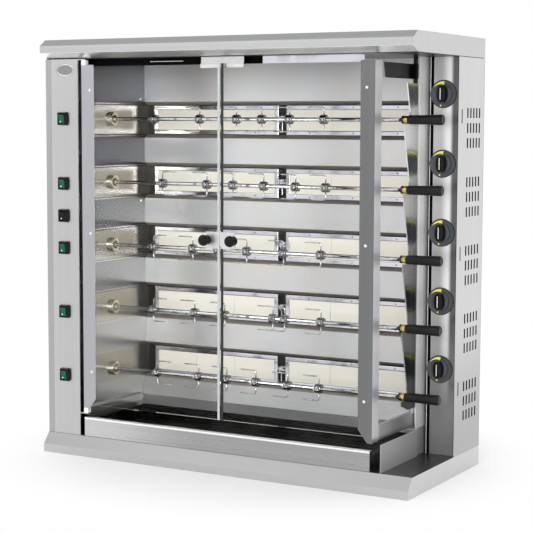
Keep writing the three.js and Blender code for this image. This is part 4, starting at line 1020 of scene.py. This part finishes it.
# --- doors
def door_knob(side):
    """Black pull knob with a waist, on a plate that reaches the door's free edge."""
    node = f"{side}_door_knob"
    low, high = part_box(node)
    inward = 1 if side == "left" else -1
    x = GAP_MIDDLE - inward * 42 * MM
    z = (low[2] + high[2]) / 2
    base = low[1] + 30 * MM
    shape = bmesh.new()
    pull = mm([(-3, 8), (0, 12.5), (2.4, 13), (3.6, 11), (7, 8.6), (12, 9), (15, 12), (18, 14.8), (22, 15.5),
               (26, 14.4), (28.6, 11), (29.8, 6), (30, 2)])
    add_turned(shape, pull, "-Y", (x, base, z), sides=40)
    outer_edge = x + inward * 39.6 * MM
    inner_edge = x - inward * 5.8 * MM
    plate = rounded_outline(abs(outer_edge - inner_edge), 46 * MM, 3 * MM)
    add_prism(shape, plate, "-Y", ((outer_edge + inner_edge) / 2, base + 0.2 * MM, z), 1.4 * MM, slot=1)
    for up in (-1, 1):
        seat = beside((x, base, z), inward * 26, -1.1, up * 15)
        add_screw(shape, seat, 2.6, 1.2, slot=1, sides=14)
    make_piece(f"{side}_pull_knob", shape, [BLACK_GLOSS, PLATE_STEEL], f"{side}_door", replaces=[node])


POST_SCREWS = {"left_door": (-0.432, (1.060, 0.650, 0.246)), "right_door": (0.446, (1.062, 0.652, 0.241))}


def post_screws():
    for body, (x, heights) in POST_SCREWS.items():
        shape = bmesh.new()
        for z in heights:
            add_screw(shape, (x, FACE + 0.1 * MM, z), 4.2, 1.8)
        make_piece(f"{body}_post_screws", shape, [SCREW_BRIGHT], body)


def hinge_blocks():
    """White end blocks that the left door's post turns on."""
    low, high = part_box("left_door_frame")
    shape = bmesh.new()
    for bottom, top in ((DOOR_BOTTOM - 7.6 * MM, DOOR_BOTTOM + 7.4 * MM),
                        (DOOR_TOP - 1 * MM, high[2] + 0.2 * MM)):
        near, far = (low[0], FACE, bottom), (low[0], FACE, top)
        add_block(shape, beside(near, -0.4, -0.6, 0), beside(far, 14.6, 14.4, 0), rounding=1.2 * MM)
    make_piece("left_door_hinge_blocks", shape, [HINGE_WHITE], "left_door")


CATCH_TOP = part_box("cavity_ceiling")[0][2] + 19 * MM


def strike_plates():
    """Catch behind the doors' upper edge, with one magnet face for each door."""
    shape = bmesh.new()
    seat = (GAP_MIDDLE, FACE + 12 * MM, CATCH_TOP)
    add_block(shape, beside(seat, -68, -1.2, -19), beside(seat, 68, -0.2, -0.5), rounding=0.3 * MM)
    for start, end in ((-70, -3), (3, 66)):
        add_block(shape, beside(seat, start, -1.6, -31), beside(seat, end, -0.1, -19.4), rounding=0.3 * MM)
    make_piece("door_catch_plates", shape, [CATCH_STEEL], "cabinet")


LIP_CHANGE = 0.122
HIGHLIGHT_START, HIGHLIGHT_END = -0.24, -0.13


def ceiling_lip():
    """Folded front edge of the ceiling, painted near black as shade on the left, with a short pale bar along
    it as a painted highlight.
    """
    shape = bmesh.new()
    # painted shade: the lip's left part is near black
    for start, end, slot in ((WALL + 17 * MM, LIP_CHANGE, 0),
                             (LIP_CHANGE + 0.5 * MM, RIGHT_POST - 44 * MM, 1)):
        near, far = (start, FACE, CATCH_TOP), (end, FACE, CATCH_TOP)
        add_block(shape, beside(near, 0, 26, -21), beside(far, 0, 28, -0.2), slot=slot, rounding=0.4 * MM)
    # painted highlight: a short pale bar on the lip's face
    near, far = (HIGHLIGHT_START, FACE, CATCH_TOP), (HIGHLIGHT_END, FACE, CATCH_TOP)
    add_block(shape, beside(near, 0, 24.4, -11.4), beside(far, 0, 26, -9.4), slot=2, rounding=0.3 * MM)
    make_piece("ceiling_front_lip", shape, [SHADE_METAL, LIP_STEEL, PLAIN_STEEL], "cabinet")


# --- cabinet details
BADGE_PLACE = (-0.518, 1.118)


def badge():
    """Plain oval plate with a raised rim."""
    shape = bmesh.new()
    x, z = BADGE_PLACE
    outer, inner = oval(64 * MM, 37 * MM), oval(57 * MM, 30 * MM)
    stages = [(outer, 0.0), (outer, 0.8 * MM), (inner, 1.3 * MM), (oval(55 * MM, 28 * MM), 0.7 * MM)]
    rings = face_rings(shape, stages, x, z)
    for index, (near, far) in enumerate(zip(rings, rings[1:])):
        skin(shape, near, far, smooth=index > 0)
    shape.faces.new(rings[0][::-1])
    paint([shape.faces.new(rings[-1])], 1)
    make_piece("oval_badge", shape, [PLAIN_STEEL, BADGE_ENAMEL], "cabinet")


WALL_SCREWS = ((0.100, 1.039), (0.100, 0.730))


def wall_screws():
    shape = bmesh.new()
    for y, z in WALL_SCREWS:
        add_screw(shape, (WALL, y, z), 4.2, 2, "X")
    make_piece("left_wall_screws", shape, [SCREW_BRIGHT], "cabinet")


def tray_front():
    """Folded front lip and the bright face of the drip tray."""
    low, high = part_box("drip_tray")
    shape = bmesh.new()
    fold = ((-0.4, -6), (-0.4, -1.2), (0.8, 0.3), (12.4, 0.3), (12.8, -0.6), (12.4, -2))
    left, right = ([shape.verts.new(beside((end, low[1], high[2]), 0, *steps)) for steps in fold]
                   for end in (low[0] + 0.2 * MM, high[0] - 0.2 * MM))
    add_drawn(shape, left, right)
    # painted reflection: the hood steel's chin step paints this lip the brightest grey
    make_piece("tray_front_lip", shape, [HOOD_STEEL], "drip_tray", bevel=0.4 * MM)


UNROUNDED = ("left_door_glass", "right_door_glass", "gas_manifold", "right_side_panel")


def dress_nodes():
    finishes = dict(
        plinth=PLINTH_STEEL,
        hood_canopy=HOOD_STEEL,
        cavity_ceiling=CEILING_STEEL,
        left_side_panel=CABINET_STEEL,
        switch_panel=SWITCH_PANEL_STEEL,
        left_inner_wall=MIRROR_WALL,
        right_partition=PARTITION_STEEL,
        knob_panel=KNOB_PANEL_STEEL,
        right_side_panel=VENTED_STEEL,
        rear_cover=REAR_STEEL,
        back_reflector=REFLECTOR,
        drip_deflector=DEFLECTOR_STEEL,
        spit_rack=RACK_STEEL,
        gear_motors=MOTOR_PAINT,
        gas_manifold=BRASS,
        drip_tray=TRAY_STEEL,
        left_door_frame=LEFT_POST_STEEL,
        right_door_frame=RIGHT_POST_STEEL,
        left_door_glass=GLASS,
        right_door_glass=GLASS,
        left_door_seal=CLEAR_SEAL,
        right_door_seal=BLACK_RUBBER,
    )
    for node, material in finishes.items():
        dress(node, material, 0.0 if node in UNROUNDED else 0.4 * MM)


dress_nodes()
for row in ROWS:
    for side in ("left", "right"):
        burner(f"{side}_burner_{row}")
    igniter(row)
    spit(row)
    drive_hub(row)
    spit_handle(row)
    gas_knob(row)
    switch(f"rocker_switch_{row}", ROCKER_GREEN)
switch("light_switch", BLACK_GLOSS)
for side in ("left", "right"):
    door_knob(side)
post_screws()
hinge_blocks()
strike_plates()
ceiling_lip()
badge()
wall_screws()
tray_front()


# --- studio
FLOOR_REACH = 30.0
SHADOW_REACH, WHITE_FROM = 0.46, 0.86
CAMERA_PLACE = (2.1569, -3.7736, 0.9773)
CAMERA_YAW, CAMERA_PITCH, CAMERA_ROLL = 29.43, 5.51, 0.19
CAMERA_LENS, CAMERA_SENSOR = 102.59, 36


def studio_floor():
    """White floor that keeps the oven's shadow and fades to plain white around it."""
    mesh = bpy.data.meshes.new("studio floor")
    corners = [(across * FLOOR_REACH, along * FLOOR_REACH, -0.3 * MM)
               for across, along in ((-1, -1), (1, -1), (1, 1), (-1, 1))]
    mesh.from_pydata(corners, [], [(0, 1, 2, 3)])
    floor = new_object("studio_floor", mesh)
    material, tree, shader = new_material("studio floor")
    shader.inputs["Base Color"].default_value = (0.98, 0.98, 0.98, 1)
    shader.inputs["Roughness"].default_value = 0.9
    distance = add_node(tree, "ShaderNodeVectorMath", operation="LENGTH")
    tree.links.new(object_place(tree), distance.inputs[0])
    fade = between(tree, distance.outputs["Value"], SHADOW_REACH, WHITE_FROM, "SMOOTHSTEP")
    either_shader(tree, fade, shader, add_node(tree, "ShaderNodeEmission"))
    mesh.materials.append(material)


def studio_world():
    """White behind everything that is seen or mirrored, softer where it only lights the oven."""
    world = bpy.data.worlds.new("studio")
    bpy.context.scene.world = world
    world.use_nodes = True
    tree = world.node_tree
    seen = tree.nodes["Background"]
    seen.inputs["Color"].default_value = (1, 1, 1, 1)
    lighting = add_node(tree, "ShaderNodeBackground")
    lighting.inputs["Color"].default_value = (1, 1, 1, 1)
    lighting.inputs["Strength"].default_value = 0.9
    path = add_node(tree, "ShaderNodeLightPath")
    shown = maths(tree, "MAXIMUM", path.outputs["Is Camera Ray"], path.outputs["Is Glossy Ray"])
    shown = maths(tree, "MAXIMUM", shown, path.outputs["Is Transmission Ray"])
    either_shader(tree, shown, lighting, seen, "World Output")


def soft_light(name, place, target, size, power, mirrored=True):
    lamp = bpy.data.lights.new(name, "AREA")
    lamp.shape = "RECTANGLE"
    lamp.size, lamp.size_y = size
    lamp.energy = power
    holder = new_object(name, lamp)
    holder.visible_glossy = mirrored
    aim = Vector(target) - Vector(place)
    holder.matrix_world = Matrix.Translation(place) @ aim.to_track_quat("-Z", "Y").to_matrix().to_4x4()


def studio_camera():
    yaw, pitch, roll = (math.radians(angle) for angle in (CAMERA_YAW, CAMERA_PITCH, CAMERA_ROLL))
    back = Vector((math.sin(yaw) * math.cos(pitch), -math.cos(yaw) * math.cos(pitch), math.sin(pitch)))
    right = Vector((math.cos(yaw), math.sin(yaw), 0))
    up = back.cross(right)
    rolled_right = math.cos(roll) * right + math.sin(roll) * up
    rolled_up = math.cos(roll) * up - math.sin(roll) * right
    stand = Matrix((rolled_right, rolled_up, back)).transposed().to_4x4()
    stand.translation = Vector(CAMERA_PLACE)
    lens = bpy.data.cameras.new("camera")
    lens.lens = CAMERA_LENS
    lens.sensor_width = CAMERA_SENSOR
    camera = new_object("camera", lens)
    camera.matrix_world = stand
    bpy.context.scene.camera = camera


studio_floor()
studio_world()
soft_light("key softbox", (-1.6, -3.0, 2.6), (0, 0, 0.6), (2.4, 2.0), 14)
soft_light("front fill", (1.0, -3.2, 0.95), (0, 0, 0.65), (2.0, 1.2), 58, mirrored=False)
studio_camera()
bpy.context.scene.view_settings.view_transform = "Standard"
